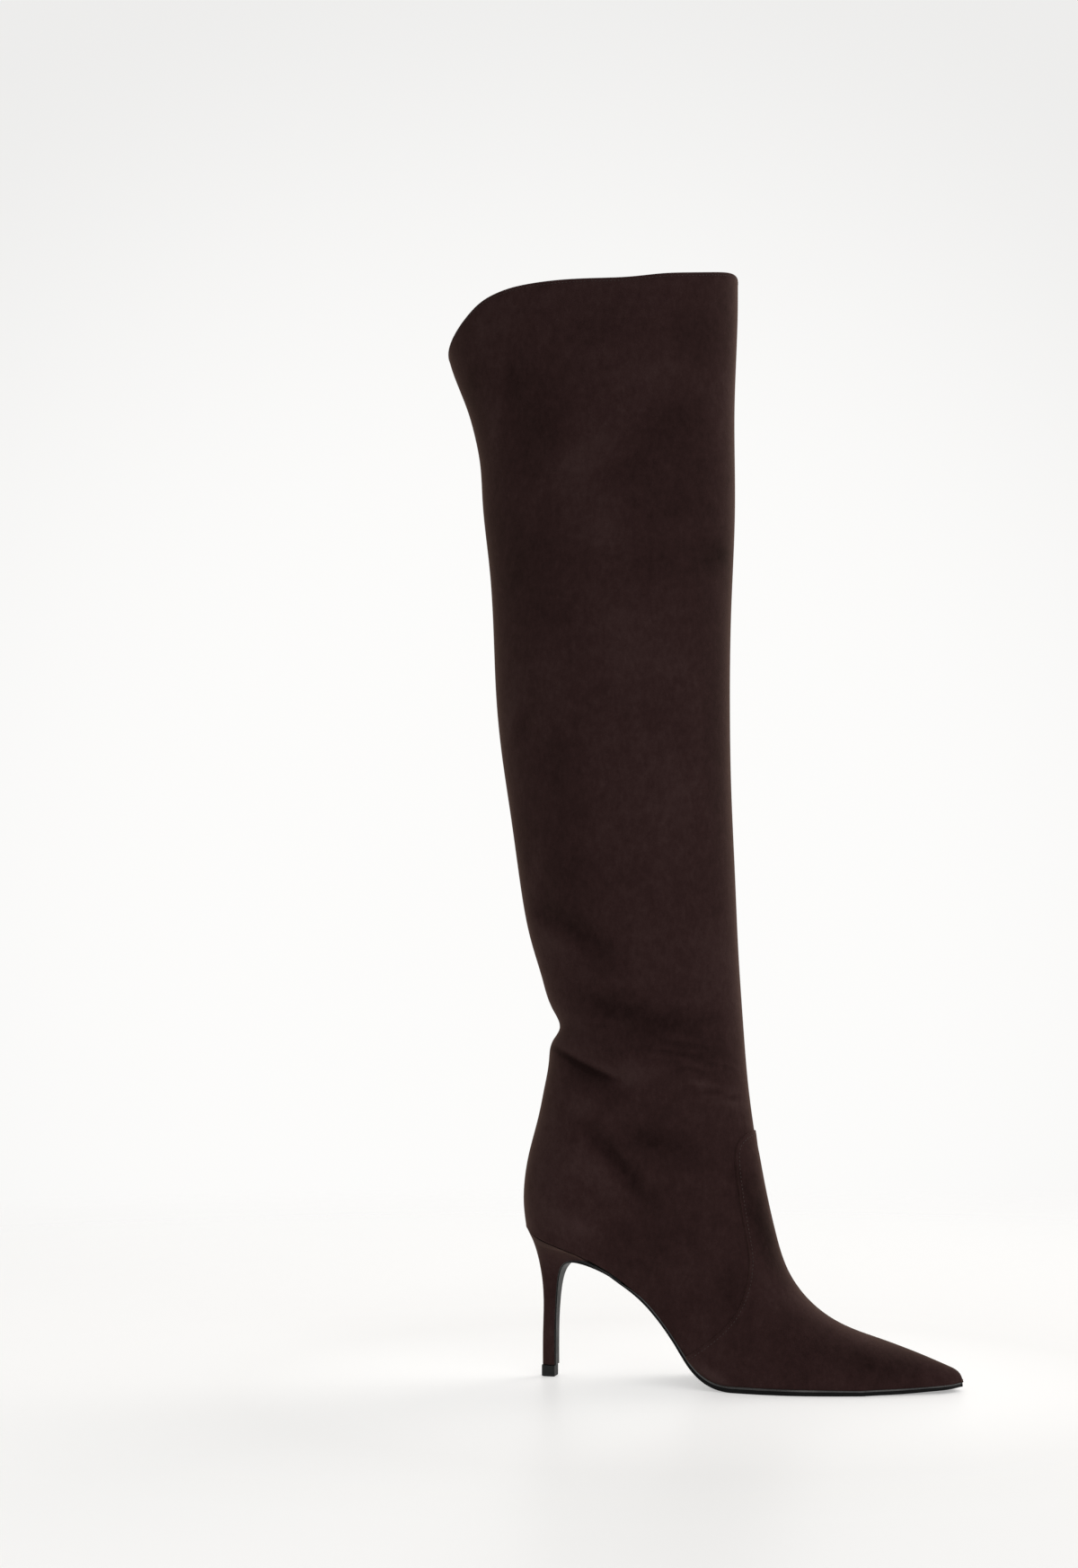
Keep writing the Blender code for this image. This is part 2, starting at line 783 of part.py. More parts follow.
HEEL_LINE = drawn(HEEL_BACK)
CENTRE_X = (back_x(RIM[0].height) + TOE_X + GAP + VAMP_THICKNESS) / 2
CENTRE_Y = 0.0


def main():
    """Clears the scene and builds the boot."""
    for old in list(bpy.data.objects):
        bpy.data.objects.remove(old, do_unlink=True)
    boot = bpy.data.collections.new("over_the_knee_boot")
    cutters = bpy.data.collections.new("cutters")
    for group in (boot, cutters):
        bpy.context.scene.collection.children.link(group)
    bed = cutter("feather_bed", cutters, bed_outline())
    seam = cutter("vamp_seam", cutters, seam_outline())
    upper(boot, bed)
    vamp(boot, bed, seam)
    insole(boot)
    outsole(boot)
    heel(boot)
    heel_tip(boot)


main()
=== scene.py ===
"""Fine shapes and finishes of an over-the-knee suede boot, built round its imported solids.

The forms are worked out in millimetres in the side view: x runs from the back edge of the heel tip
towards the toe, z runs up from the floor, and y is positive on the inner (medial) side. Every piece
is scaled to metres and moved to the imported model's own origin as it is made.
"""

import logging
import math
from collections.abc import Callable, Sequence
from dataclasses import dataclass
from enum import Enum

import bmesh
import bpy
import numpy as np
from mathutils import Matrix, Vector


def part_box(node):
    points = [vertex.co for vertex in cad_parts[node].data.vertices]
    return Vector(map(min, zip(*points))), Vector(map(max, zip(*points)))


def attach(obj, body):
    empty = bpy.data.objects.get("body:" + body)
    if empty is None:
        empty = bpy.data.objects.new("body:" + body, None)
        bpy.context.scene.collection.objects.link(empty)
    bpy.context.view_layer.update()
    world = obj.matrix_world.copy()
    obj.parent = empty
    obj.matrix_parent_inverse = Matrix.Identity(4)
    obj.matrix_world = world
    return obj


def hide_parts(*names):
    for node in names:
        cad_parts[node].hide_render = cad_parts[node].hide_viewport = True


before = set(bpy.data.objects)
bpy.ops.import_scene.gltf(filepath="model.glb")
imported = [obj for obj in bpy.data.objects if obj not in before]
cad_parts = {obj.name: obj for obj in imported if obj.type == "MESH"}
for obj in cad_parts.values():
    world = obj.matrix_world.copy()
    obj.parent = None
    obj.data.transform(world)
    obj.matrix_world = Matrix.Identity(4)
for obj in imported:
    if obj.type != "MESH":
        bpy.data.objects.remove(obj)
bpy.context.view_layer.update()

LOG = logging.getLogger("boot")
MM = 0.001
Array = np.ndarray
Pair = tuple[float, float]
Triple = tuple[float, float, float]
Span = tuple[float, float, float, float]
Colour = tuple[float, float, float]
Socket = bpy.types.NodeSocket
Piece = bpy.types.Object


class Side(Enum):
    """The two sides of the boot, with the sign of y on each."""

    LATERAL = -1
    MEDIAL = 1


# ---------------------------------------------------------------------------------------------
# Lines and tables
# ---------------------------------------------------------------------------------------------


def spline(knots: Sequence[float], values: Sequence[float], at: Array) -> Array:
    """The natural cubic spline through the knots.

    Args:
        knots: Rising places of the knots.
        values: The value at each knot.
        at: Places to read.

    Returns:
        The smooth values at those places.
    """
    knots = np.asarray(knots, float)
    values = np.asarray(values, float)
    at = np.clip(at, knots[0], knots[-1])
    step = np.diff(knots)
    slope = np.diff(values) / step
    matrix = np.eye(len(knots))
    right = np.zeros(len(knots))
    for i in range(1, len(knots) - 1):
        matrix[i, i - 1 : i + 2] = step[i - 1], 2 * (step[i - 1] + step[i]), step[i]
        right[i] = 6 * (slope[i] - slope[i - 1])
    bend = np.linalg.solve(matrix, right)
    i = np.clip(np.searchsorted(knots, at) - 1, 0, len(step) - 1)
    after = (at - knots[i]) / step[i]
    before = 1 - after
    curved = (before**3 - before) * bend[i] + (after**3 - after) * bend[i + 1]
    return before * values[i] + after * values[i + 1] + curved * step[i] ** 2 / 6


def smooth_step(value: Array) -> Array:
    """0 below 0, 1 above 1, and an easy curve between."""
    value = np.clip(value, 0, 1)
    return value * value * (3 - 2 * value)


def travelled(points: Array) -> Array:
    """How far along a row of points each of them lies."""
    return np.concatenate([[0], np.cumsum(np.linalg.norm(np.diff(points, axis=0), axis=1))])


class Track:
    """A smooth line drawn through points of the side view."""

    BATCH = 4000

    def __init__(self, knots: Sequence[Pair], count: int = 500) -> None:
        """Draws the line.

        Args:
            knots: The points that it passes through.
            count: How many even steps it is drawn in.
        """
        given = np.array(knots, float)
        chord = travelled(given)
        self.at = np.linspace(0, chord[-1], count)
        self.points = np.column_stack([spline(chord, given[:, k], self.at) for k in (0, 1)])

    def along(self, share: Array) -> Array:
        """Points at shares of the line's length, from 0 to 1."""
        place = np.asarray(share, float) * self.at[-1]
        return np.column_stack([np.interp(place, self.at, self.points[:, k]) for k in (0, 1)])

    def measure(self, x: Array, z: Array) -> tuple[Array, Array]:
        """Where points lie against the line.

        Args:
            x: The points' x.
            z: The points' height.

        Returns:
            The share of the line's length at the nearest place, and the distance to it, which is
            positive on the line's left.
        """
        flat = np.column_stack([np.ravel(x), np.ravel(z)])
        way = self.ways()
        share = np.empty(len(flat))
        across = np.empty(len(flat))
        for start in range(0, len(flat), self.BATCH):
            batch = slice(start, start + self.BATCH)
            part = flat[batch]
            apart = part[:, None, :] - self.points[None, :, :]
            square = (apart**2).sum(axis=2)
            near = square.argmin(axis=1)
            rows = np.arange(len(part))
            gap = apart[rows, near]
            side = way[near, 0] * gap[:, 1] - way[near, 1] * gap[:, 0]
            past = (way[near] * gap).sum(axis=1)
            ends = (near == 0) | (near == len(self.points) - 1)
            far = np.where(side < 0, -1, 1) * np.sqrt(square[rows, near])
            share[batch] = self.at[near] + past
            across[batch] = np.where(ends, far, side)
        share = np.clip(share / self.at[-1], 0, 1)
        return share.reshape(np.shape(x)), across.reshape(np.shape(x))

    def ways(self) -> Array:
        """The way that the line runs at each of its points, as unit vectors."""
        way = np.gradient(self.points, axis=0)
        return way / np.linalg.norm(way, axis=1)[:, None]

    def share_at(self, point: Pair) -> float:
        """The share of the line's length at the place nearest to a point."""
        return self.measure(*np.reshape(point, (2, 1)))[0][0]

    def shifted(self, by: Array | float) -> "Track":
        """The line moved to its left by a distance that may change along it."""
        way = self.ways()
        left = np.column_stack([-way[:, 1], way[:, 0]])
        return self.like(self.points + left * np.reshape(by, (-1, 1)), self.at)

    def below(self, height: float) -> "Track":
        """The part of the line below a height, with its lengths counted from there."""
        low = self.points[:, 1] <= height
        start = [np.interp(-height, -self.points[:, 1], self.points[:, 0]), height]
        return self.like(np.vstack([start, self.points[low]]))

    def after(self, share: float) -> "Track":
        """The part of the line after a share of its length."""
        return self.like(self.along(np.linspace(share, 1, 400)))

    @staticmethod
    def like(points: Array, at: Array | None = None) -> "Track":
        """A line made of points that are drawn already, with its own lengths or another's."""
        made = Track.__new__(Track)
        made.points = points
        made.at = travelled(points) if at is None else at
        return made

    def x_at(self, z: Array) -> Array:
        """Where a line that falls all the way lies at height z."""
        return np.interp(-np.asarray(z, float), -self.points[:, 1], self.points[:, 0])

    def z_at(self, x: Array) -> Array:
        """How high a line that runs towards the toe lies at x."""
        return np.interp(x, self.points[:, 0], self.points[:, 1])


@dataclass(frozen=True)
class Section:
    """Half widths at one station of the boot's bent spine, and how deep the walls round off."""

    station: float
    lateral: float
    medial: float
    front: float
    back: float


@dataclass(frozen=True)
class Tuck:
    """How far the wall tucks in towards the feather edge at x."""

    x: float
    share: float
    height: float


@dataclass(frozen=True)
class SolePoint:
    """A point of the sole's outer face, its thickness there, and its half width under the heel."""

    x: float
    z: float
    thickness: float
    half: float


@dataclass(frozen=True)
class HeelRing:
    """A ring of the heel: where it starts at the back, ends on the sole, and its half width."""

    height: float
    front: float
    half: float


@dataclass(frozen=True)
class Fold:
    """A large straight fold of the shaft."""

    x0: float
    z0: float
    x1: float
    z1: float
    depth: float
    width: float


@dataclass(frozen=True)
class Crease:
    """A soft trough in the suede, with a low roll of leather along one edge of it.

    Attributes:
        path: The points that it runs through.
        depth: How deep it is.
        width: How wide it is.
        roll: How far the roll stands out.
        start: How deep it is already where it begins, from 0 to 1.
        comes_in: How quickly it comes in after its start.
        goes_out: How quickly it goes out towards its end.
        beside: How far beside it the roll lies, in its widths.
        spread: How wide the roll is, in its widths.
    """

    path: tuple[Pair, ...]
    depth: float
    width: float
    roll: float = 0.0
    start: float = 0.0
    comes_in: float = 5.0
    goes_out: float = 3.0
    beside: float = 2.0
    spread: float = 1.4


@dataclass(frozen=True)
class NapAndPaintedLightPatch:
    """An oval place where the suede is lighter or darker: the nap's lie, painted shade and painted
    highlights all come in such patches.
    """

    x: float
    z: float
    long: float
    wide: float
    turn: float
    value: float


def column(rows: Sequence, name: str) -> Array:
    """One named column of a table's rows."""
    return np.array([getattr(row, name) for row in rows], float)


def table(kind: type, *rows: Sequence) -> list:
    """A table made of one kind of row, each of whose rows gives its sizes in their order."""
    return [kind(*row) for row in rows]


def by_side(kind: type, lateral: Sequence, medial: Sequence) -> dict[Side, list]:
    """A table of one kind of row for each side."""
    return {Side.LATERAL: table(kind, *lateral), Side.MEDIAL: table(kind, *medial)}


BACK = (
    (-60.0, 625),
    (-58.0, 602),
    (-52.6, 585),
    (-45.6, 567),
    (-40.8, 550),
    (-37.6, 533),
    (-36.0, 510),
    (-31.6, 470),
    (-28.6, 425),
    (-26.8, 388),
    (-23.0, 353),
    (-18.0, 320),
    (-12.4, 281),
    (-6.0, 248),
    (1.0, 225),
    (7.0, 208),
    (11.2, 197),
    (6.6, 189),
    (4.8, 179),
    (2.0, 163),
    (-1.4, 147),
    (-6.8, 127),
    (-10.0, 108),
    (-10.2, 96),
    (-9.0, 85),
)
TOE_X = 235.6
FRONT = (
    (119.0, 650),
    (118.6, 615),
    (116.2, 560),
    (115.8, 500),
    (113.0, 440),
    (111.6, 380),
    (111.8, 340),
    (113.6, 285),
    (115.2, 240),
    (117.6, 198),
    (120.1, 165),
    (123.4, 139),
    (128.2, 110),
    (134.2, 82),
    (140.0, 63.6),
    (149.2, 49.2),
    (167.2, 34.9),
    (190.6, 26.0),
    (216.3, 17.2),
    (228.4, 12.4),
    (234.2, 8.8),
    (TOE_X, 5.1),
)
SEAT = (
    (-9.0, 85.0),
    (-4.0, 82.2),
    (4.0, 78.6),
    (14.0, 75.2),
    (26.0, 71.0),
    (38.0, 65.6),
    (46.0, 61.2),
    (52.0, 57.2),
)
SOLE = table(
    SolePoint,
    (8.9, 6.6, 0.8, 4.3),
    (8.9, 22.0, 0.8, 4.3),
    (9.4, 38.0, 0.8, 4.6),
    (10.2, 48.0, 0.8, 5.3),
    (11.5, 56.0, 0.9, 6.8),
    (13.8, 61.4, 0.9, 9.6),
    (17.6, 64.4, 1.0, 14.0),
    (23.0, 65.4, 1.1, 18.6),
    (31.0, 64.2, 1.1, 22.0),
    (41.0, 60.8, 1.0, 24.2),
    (52.0, 54.8, 1.0, 25.6),
    (61.5, 47.9, 1.8, 0),
    (70.0, 39.6, 1.8, 0),
    (77.5, 30.4, 1.8, 0),
    (84.0, 21.2, 1.9, 0),
    (90.0, 12.6, 2.3, 0),
    (97.0, 5.8, 2.8, 0),
    (105.0, 1.6, 3.2, 0),
    (114.0, 0.0, 3.5, 0),
    (132.0, 0.0, 3.5, 0),
    (150.0, 0.0, 3.4, 0),
    (168.0, 0.0, 3.3, 0),
    (186.0, 0.0, 3.1, 0),
    (204.0, 0.5, 3.0, 0),
    (221.0, 1.4, 2.7, 0),
    (236.2, 2.4, 2.4, 0),
)
SECTIONS = table(
    Section,
    (-476, 50.0, 50.0, 84, 86),
    (-420, 48.5, 48.5, 82, 82),
    (-330, 48.0, 48.0, 76, 76),
    (-235, 50.0, 50.0, 72, 72),
    (-160, 47.5, 47.5, 67, 67),
    (-90, 43.0, 43.0, 61, 61),
    (-35, 39.5, 39.5, 56, 54),
    (0, 37.0, 37.0, 56, 52),
    (12, 34.0, 34.0, 54, 44),
    (22, 31.0, 31.0, 52, 36),
    (32, 29.4, 29.4, 50, 34),
    (45, 30.0, 29.6, 47, 34),
    (55, 31.6, 31.0, 46, 34),
    (65, 35.2, 34.4, 46, 34),
    (74, 37.8, 37.2, 44, 34),
    (82, 35.6, 35.8, 38, 34),
    (90, 29.6, 30.2, 24, 34),
    (110, 20.8, 21.2, 15, 34),
    (125, 13.8, 13.8, 11, 34),
    (142, 7.0, 7.0, 8, 34),
)
TUCKS = table(
    Tuck,
    (-10, 0.93, 16),
    (40, 0.92, 18),
    (80, 0.92, 14),
    (110, 0.95, 9),
    (150, 0.965, 8),
    (200, 0.965, 6),
    (240, 0.97, 4),
)
RIM = (
    (0.0, 601.0),
    (0.05, 607.8),
    (0.12, 616.6),
    (0.175, 622.4),
    (0.225, 625.4),
    (0.3, 627.6),
    (0.4, 628.3),
    (0.5, 628.1),
    (0.62, 627.3),
    (0.7, 627.6),
    (0.8, 629.9),
    (0.88, 631.7),
    (0.93, 633.4),
    (0.975, 636.0),
    (1.0, 638.0),
)
SEAM = (
    (123.4, 139.9),
    (119.0, 136.4),
    (116.2, 132.4),
    (115.3, 126.0),
    (116.2, 114.0),
    (118.2, 100.0),
    (120.8, 85.0),
    (123.1, 71.0),
    (122.6, 58.0),
    (119.8, 47.5),
    (113.6, 37.0),
    (104.6, 28.4),
    (95.0, 21.4),
    (88.2, 17.1),
)
HEEL_RINGS = table(
    HeelRing,
    (6.3, 0.0, 4.3),
    (22.0, 15.4, 4.4),
    (36.0, 29.4, 4.8),
    (47.0, 41.6, 5.6),
    (55.0, 49.8, 7.0),
    (61.5, 55.6, 9.2),
    (67.0, 60.6, 12.2),
    (72.0, 66.0, 16.0),
    (76.5, 73.0, 20.2),
    (80.0, 81.0, 23.6),
    (82.8, 88.5, 25.8),
    (84.2, 96.6, 27.0),
)
HEEL_BACK = (
    (0.3, 6.3),
    (0.4, 25.0),
    (0.8, 42.0),
    (-0.2, 56.0),
    (-2.0, 66.0),
    (-4.8, 76.0),
    (-8.4, 84.7),
)
FOLDS = by_side(
    Fold,
    (
        (8, 190, 62, 164, 4.0, 7.0),
        (30, 148, 74, 100, 2.2, 9.0),
    ),
    (
        (8, 190, 52, 172, 3.2, 7.0),
        (40, 246, 112, 186, 4.2, 9.0),
    ),
)
CREASES = by_side(
    Crease,
    (
        (((5, 189), (13, 185), (23, 180), (33, 175), (43, 171), (58, 166)), 1.5, 1.6, 0.8, 1.0),
        (((30, 149), (41, 135), (52, 123), (61, 111), (68, 102)), 1.5, 4.2, 0.4),
        (((99, 165), (107.7, 161.2), (114.7, 159), (120.6, 156.7)), 0.7, 1.3, 0.6),
        (((84, 176), (95, 174), (108, 170)), 0.3, 1.4, 0.4),
        (((72, 186), (88, 183), (104, 181)), 0.2, 1.0, 0.25),
        (((66, 181), (80, 179), (98, 177.5)), 0.2, 0.9, 0.25),
        (((76, 190), (94, 188), (112, 184)), 0.22, 1.2, 0.2),
        (((100, 178), (110, 176), (118, 172)), 0.22, 0.9, 0.25),
        (((30, 199), (48, 198), (66, 194)), 0.25, 1.3, 0.2),
        (((88, 165), (100, 162.5), (112, 157)), 0.25, 1.6, 0.3),
        (((-2, 268), (17, 258), (34, 250), (45, 239), (52, 228)), 2.6, 7.0, 0.5),
        (((28, 214), (52, 209), (80, 203), (100, 197)), 2.0, 6.0, 0.3),
        (((14, 197), (26, 196), (38, 193), (54, 188)), 0.8, 3.0, 0.3),
        (((50, 138), (67, 136.5), (84, 130)), 1.5, 5.5, 0.3),
        (((92, 474), (105, 469), (114, 464)), 1.6, 7.0, 0.2),
        (((-12, 590), (-8, 569), (-3, 548), (2, 524), (8, 500)), 2.0, 9.0, 0.4),
        (((50, 505), (72, 515), (96, 540)), 1.3, 11.0, 0.3),
        (((-8, 382), (0, 368), (14, 350), (26, 326)), 1.4, 7.0, 0.3),
        (((-3, 302), (6, 284), (20, 268)), 0.9, 5.0, 0.3),
        (((106, 420), (107, 360), (109, 300)), 0.5, 6.0, 0.0),
    ),
    (
        (((9, 187), (24, 184), (40, 178), (54, 172)), 1.2, 2.4, 0.5),
        (((44, 250), (64, 236), (84, 217), (108, 190)), 1.6, 4.0, 0.7),
        (((106, 236), (94, 214), (86, 200)), 1.2, 4.0, 0.4),
        (((34, 140), (50, 122), (62, 106)), 1.0, 5.0, 0.3),
        (((78, 582), (88, 548), (100, 505)), 1.8, 7.0, 0.8),
        (((-16, 380), (20, 373), (62, 355)), 1.2, 4.0, 0.5),
        (((4, 262), (18, 244), (30, 222)), 1.4, 5.5, 0.4),
        (((92, 171), (104, 167), (116, 161)), 0.6, 1.4, 0.4),
    ),
)
# Patches of the nap's own lie, together with painted shade along folds and over the vamp's upturned
# top, and painted highlights along the instep's ridge.
NAP_AND_PAINTED_LIGHT_PATCHES = by_side(
    NapAndPaintedLightPatch,
    (
        (8, 548, 24, 30, 0, -0.55),
        (-8, 572, 14, 6, 90, -0.5),
        (-27, 603, 14, 5, 80, 0.45),
        (-22, 548, 24, 5, 80, 0.45),
        (-36, 578, 16, 6, 60, -0.5),
        (38, 526, 36, 11, 38, 0.5),
        (76, 568, 26, 15, 10, 0.35),
        (60, 622, 40, 8, 5, 0.25),
        (103, 594, 15, 15, 0, -0.4),
        (50, 597, 16, 9, 0, -0.3),
        (92, 540, 16, 18, 60, -0.5),
        (62, 512, 16, 10, 0, -0.5),
        (86, 494, 18, 13, 0, -0.45),
        (104, 518, 16, 12, 0, -0.3),
        (112, 468, 13, 8, 20, -1.1),
        (80, 458, 10, 10, 0, -0.3),
        (0, 462, 36, 18, 90, -0.5),
        (22, 430, 14, 8, 0, -0.35),
        (48, 476, 14, 14, 0, 0.3),
        (62, 410, 34, 26, 0, 0.2),
        (-2, 372, 10, 7, 60, -0.45),
        (-12, 374, 14, 4, 80, 0.6),
        (18, 350, 14, 15, 0, -0.4),
        (85, 340, 18, 30, 0, 0.2),
        (107, 355, 50, 6, 90, -0.5),
        (32, 318, 8, 10, 0, -0.3),
        (3, 288, 14, 5, 80, 0.45),
        (10, 262, 16, 8, -10, -0.7),
        (30, 252, 14, 8, -30, -0.8),
        (45, 239, 14, 8, -45, -0.6),
        (15, 246, 14, 6, -25, 0.4),
        (26, 281, 22, 14, 0, -0.35),
        (106, 242, 12, 22, 0, 0.55),
        (52, 209, 24, 8, -12, -0.9),
        (86, 201, 26, 6, 5, -0.54),
        (90, 186, 30, 11, -15, -0.68),
        (118, 206, 8, 18, 0, 0.41),
        (34, 173, 22, 5, -28, -0.75),
        (40, 164, 24, 8, -25, -0.61),
        (62, 172, 18, 9, 20, 0.81),
        (30, 152, 8, 7, 0, 0.61),
        (51, 123, 28, 6, -50, -1.15),
        (68, 136, 14, 8, 0, -1.01),
        (88, 128, 14, 9, 0, -0.47),
        (8, 125, 26, 18, 80, 0.47),
        (30, 120, 14, 11, -45, 0.41),
        (112, 156, 12, 3, -15, 0.6),
        (98, 166.5, 6, 1.5, -15, 0.6),
        (7.5, 191, 3, 2, 60, 2.0),
        (18, 89, 22, 8, -18, 0.7),
        (50, 83, 12, 9, 0, -0.4),
        (95, 65, 14, 12, 0, 0.34),
        # The vamp: painted shade down its front, a painted highlight along the instep's ridge (167,
        # 37), and painted shade over its upturned top (165, 20).
        (130, 86, 32, 5.5, 109, -1.25),
        (115, 58, 14, 8, 80, -0.7),
        (167, 37, 28, 4.5, -30, 1.1),
        (142, 46, 12, 8, -30, 0.15),
        (195, 16, 26, 6, -12, -0.54),
        (165, 20, 60, 26, -20, -0.54),
        (104, 9, 13, 3, -25, 0.94),
        (226, 9, 10, 5, 0, 0.41),
    ),
    (
        # The vamp: a painted highlight along the instep's ridge, and painted shade over its upturned
        # top.
        (167, 36, 28, 2.5, -30, 0.8),
        (165, 20, 60, 26, -20, -0.4),
        (50, 560, 50, 26, 60, -0.45),
        (90, 590, 20, 16, 60, -0.5),
        (98, 530, 40, 7, 105, 0.6),
        (84, 535, 40, 8, 105, -0.7),
        (-14, 467, 16, 6, 80, 0.5),
        (20, 430, 40, 30, 20, -0.3),
        (50, 345, 34, 10, -12, -0.6),
        (20, 372, 34, 7, -8, -0.5),
        (100, 330, 50, 8, 90, 0.4),
        (60, 300, 22, 18, -30, -0.8),
        (10, 320, 26, 14, 70, 0.3),
        (66, 262, 30, 9, -35, -0.7),
        (90, 226, 20, 11, -25, -0.9),
        (78, 214, 34, 5, -42, 0.7),
        (108, 172, 12, 11, -40, 0.7),
        (20, 240, 14, 12, -50, -0.7),
        (4, 284, 16, 5, 105, 0.5),
        (28, 184, 20, 7, -10, -0.85),
        (50, 165, 26, 12, -30, 0.3),
        (18, 130, 24, 24, 0, 0.4),
        (70, 130, 30, 10, -40, -0.3),
        (90, 90, 30, 20, 0, 0.2),
        (18, 89, 22, 8, -18, 0.4),
        (140, 30, 24, 9, -40, -0.5),
        (150, 52, 16, 8, -40, 0.4),
        (190, 22, 30, 5, -14, -0.4),
    ),
)


@dataclass
class BootForm:
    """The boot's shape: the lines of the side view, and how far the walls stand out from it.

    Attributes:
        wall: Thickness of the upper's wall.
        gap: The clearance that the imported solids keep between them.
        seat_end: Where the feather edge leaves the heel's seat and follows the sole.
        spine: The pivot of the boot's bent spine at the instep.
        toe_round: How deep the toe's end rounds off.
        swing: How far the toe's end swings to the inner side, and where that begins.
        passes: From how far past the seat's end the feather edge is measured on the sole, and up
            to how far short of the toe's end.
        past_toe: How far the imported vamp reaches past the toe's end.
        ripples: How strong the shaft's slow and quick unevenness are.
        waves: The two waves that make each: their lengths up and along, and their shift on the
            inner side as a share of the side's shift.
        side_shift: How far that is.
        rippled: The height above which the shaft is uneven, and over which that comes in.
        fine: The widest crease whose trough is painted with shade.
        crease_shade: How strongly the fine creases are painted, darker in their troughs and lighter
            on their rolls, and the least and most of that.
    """

    wall: float = 1.8
    gap: float = 0.3
    seat_end: float = 52.0
    spine: Pair = (185.0, 165.0)
    toe_round: float = 10.0
    swing: Pair = (4.0, 120.0)
    passes: Pair = (8.0, 2.0)
    past_toe: float = 1.1
    ripples: Pair = (0.45, 0.12)
    waves: tuple[tuple[Triple, ...], ...] = (
        ((31.0, 44.0, 1.0), (-83.0, 27.0, 1.3)),
        ((13.7, -19.0, 2.0), (37.0, 11.5, 0.0)),
    )
    side_shift: float = 2.1
    rippled: Pair = (90.0, 80.0)
    fine: float = 2.5
    crease_shade: Triple = (1.1, -0.5, 0.8)

    def __post_init__(self) -> None:
        """Draws the lines that everything else is measured from."""
        self.back = Track(BACK)
        self.front = Track(FRONT)
        self.sole = Track([(row.x, row.z) for row in SOLE])
        self.sole.points[:, 1] = np.maximum(self.sole.points[:, 1], 0)
        self.sole_at = travelled(np.column_stack([column(SOLE, "x"), column(SOLE, "z")]))
        self.sole_thick = spline(self.sole_at, column(SOLE, "thickness"), self.sole.at)
        self.under = self.sole.shifted(self.sole_thick)
        x = self.under.points[:, 0]
        ahead = (x > self.seat_end + self.passes[0]) & (x < TOE_X - self.passes[1])
        rows = [tuple(point) for point in self.under.points[ahead][::12]]
        self.feather = Track([*SEAT, *rows, FRONT[-1]])
        self.creases = {
            side: [(crease, Track(crease.path, 120)) for crease in CREASES[side]] for side in Side
        }
        self.centre_x = (TOE_X + self.past_toe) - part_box("vamp")[1].x / MM

    def world(self, points: Array) -> Array:
        """Points of the boot's own frame, in millimetres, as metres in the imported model's frame."""
        return (np.asarray(points, float) - [self.centre_x, 0, 0]) * MM

    def station(self, x: Array, z: Array) -> Array:
        """How far along the boot's bent spine a point of the side view lies.

        Args:
            x: The points' x.
            z: The points' height.

        Returns:
            Minus the millimetres above the pivot, or the degrees round it below it, with the
            millimetres ahead of it added.
        """
        ahead = np.maximum(self.spine[0] - x, 1e-6)
        angle = np.clip(np.degrees(np.arctan2(self.spine[1] - z, ahead)), 0, 90)
        high = self.spine[1] - z
        return np.where(z >= self.spine[1], high, angle) + np.maximum(x - self.spine[0], 0)

    @staticmethod
    def rounded(depth: Array, over: Array) -> Array:
        """0 at a closed edge, rising along a quarter ellipse to 1 at the given depth."""
        share = np.clip(depth / over, 0, 1)
        return np.sqrt(np.maximum(1 - (1 - share) ** 2, 0))

    @staticmethod
    def section(name: str, at: Array) -> Array:
        """A named column of the sections, read along the spine."""
        return spline(column(SECTIONS, "station"), column(SECTIONS, name), at)

    def pressed(self, x: Array, z: Array, side: Side) -> Array:
        """How far the folds and creases of one side press the wall in.

        Args:
            x: The points' x.
            z: The points' height.
            side: Which wall.

        Returns:
            The depth at each point, less where a roll stands out.
        """
        total = np.zeros(np.shape(x))
        for fold in FOLDS[side]:
            way = np.array([fold.x1 - fold.x0, fold.z1 - fold.z0], float)
            length = np.hypot(*way)
            way /= length
            ahead = ((x - fold.x0) * way[0] + (z - fold.z0) * way[1]) / length
            across = (x - fold.x0) * way[1] - (z - fold.z0) * way[0]
            fade = np.clip(1 - np.abs(2 * ahead - 1) ** 3, 0, 1)
            total += fold.depth * fade * np.exp(-((across / fold.width) ** 2))
        return total + self.creased(x, z, side)

    def creased(self, x: Array, z: Array, side: Side, widest: float = math.inf) -> Array:
        """How far the creases of one side, up to a width, press the wall in.

        Args:
            x: The points' x.
            z: The points' height.
            side: Which wall.
            widest: The widest crease that counts.

        Returns:
            The depth at each point, less where a roll stands out.
        """
        total = np.zeros(np.shape(x))
        for crease, track in self.creases[side]:
            if crease.width > widest:
                continue
            low = track.points.min(axis=0) - 5 * crease.width
            high = track.points.max(axis=0) + 5 * crease.width
            near = (x > low[0]) & (x < high[0]) & (z > low[1]) & (z < high[1])
            total[near] += self.crease_depth(crease, track, x[near], z[near])
        return total

    @staticmethod
    def crease_depth(crease: Crease, track: Track, x: Array, z: Array) -> Array:
        """How far one crease presses the wall in, less where its roll stands out.

        Args:
            crease: The crease.
            track: The line that it runs along.
            x: The points' x.
            z: The points' height.

        Returns:
            The depth at each point.
        """
        share, across = track.measure(x, z)
        fade = smooth_step(crease.comes_in * share + crease.start)
        fade = fade * smooth_step(crease.goes_out * (1 - share))
        trough = crease.depth * np.exp(-((across / crease.width) ** 2))
        beside = (across - crease.beside * crease.width) / (crease.spread * crease.width)
        return fade * (trough - crease.roll * np.exp(-(beside**2)))

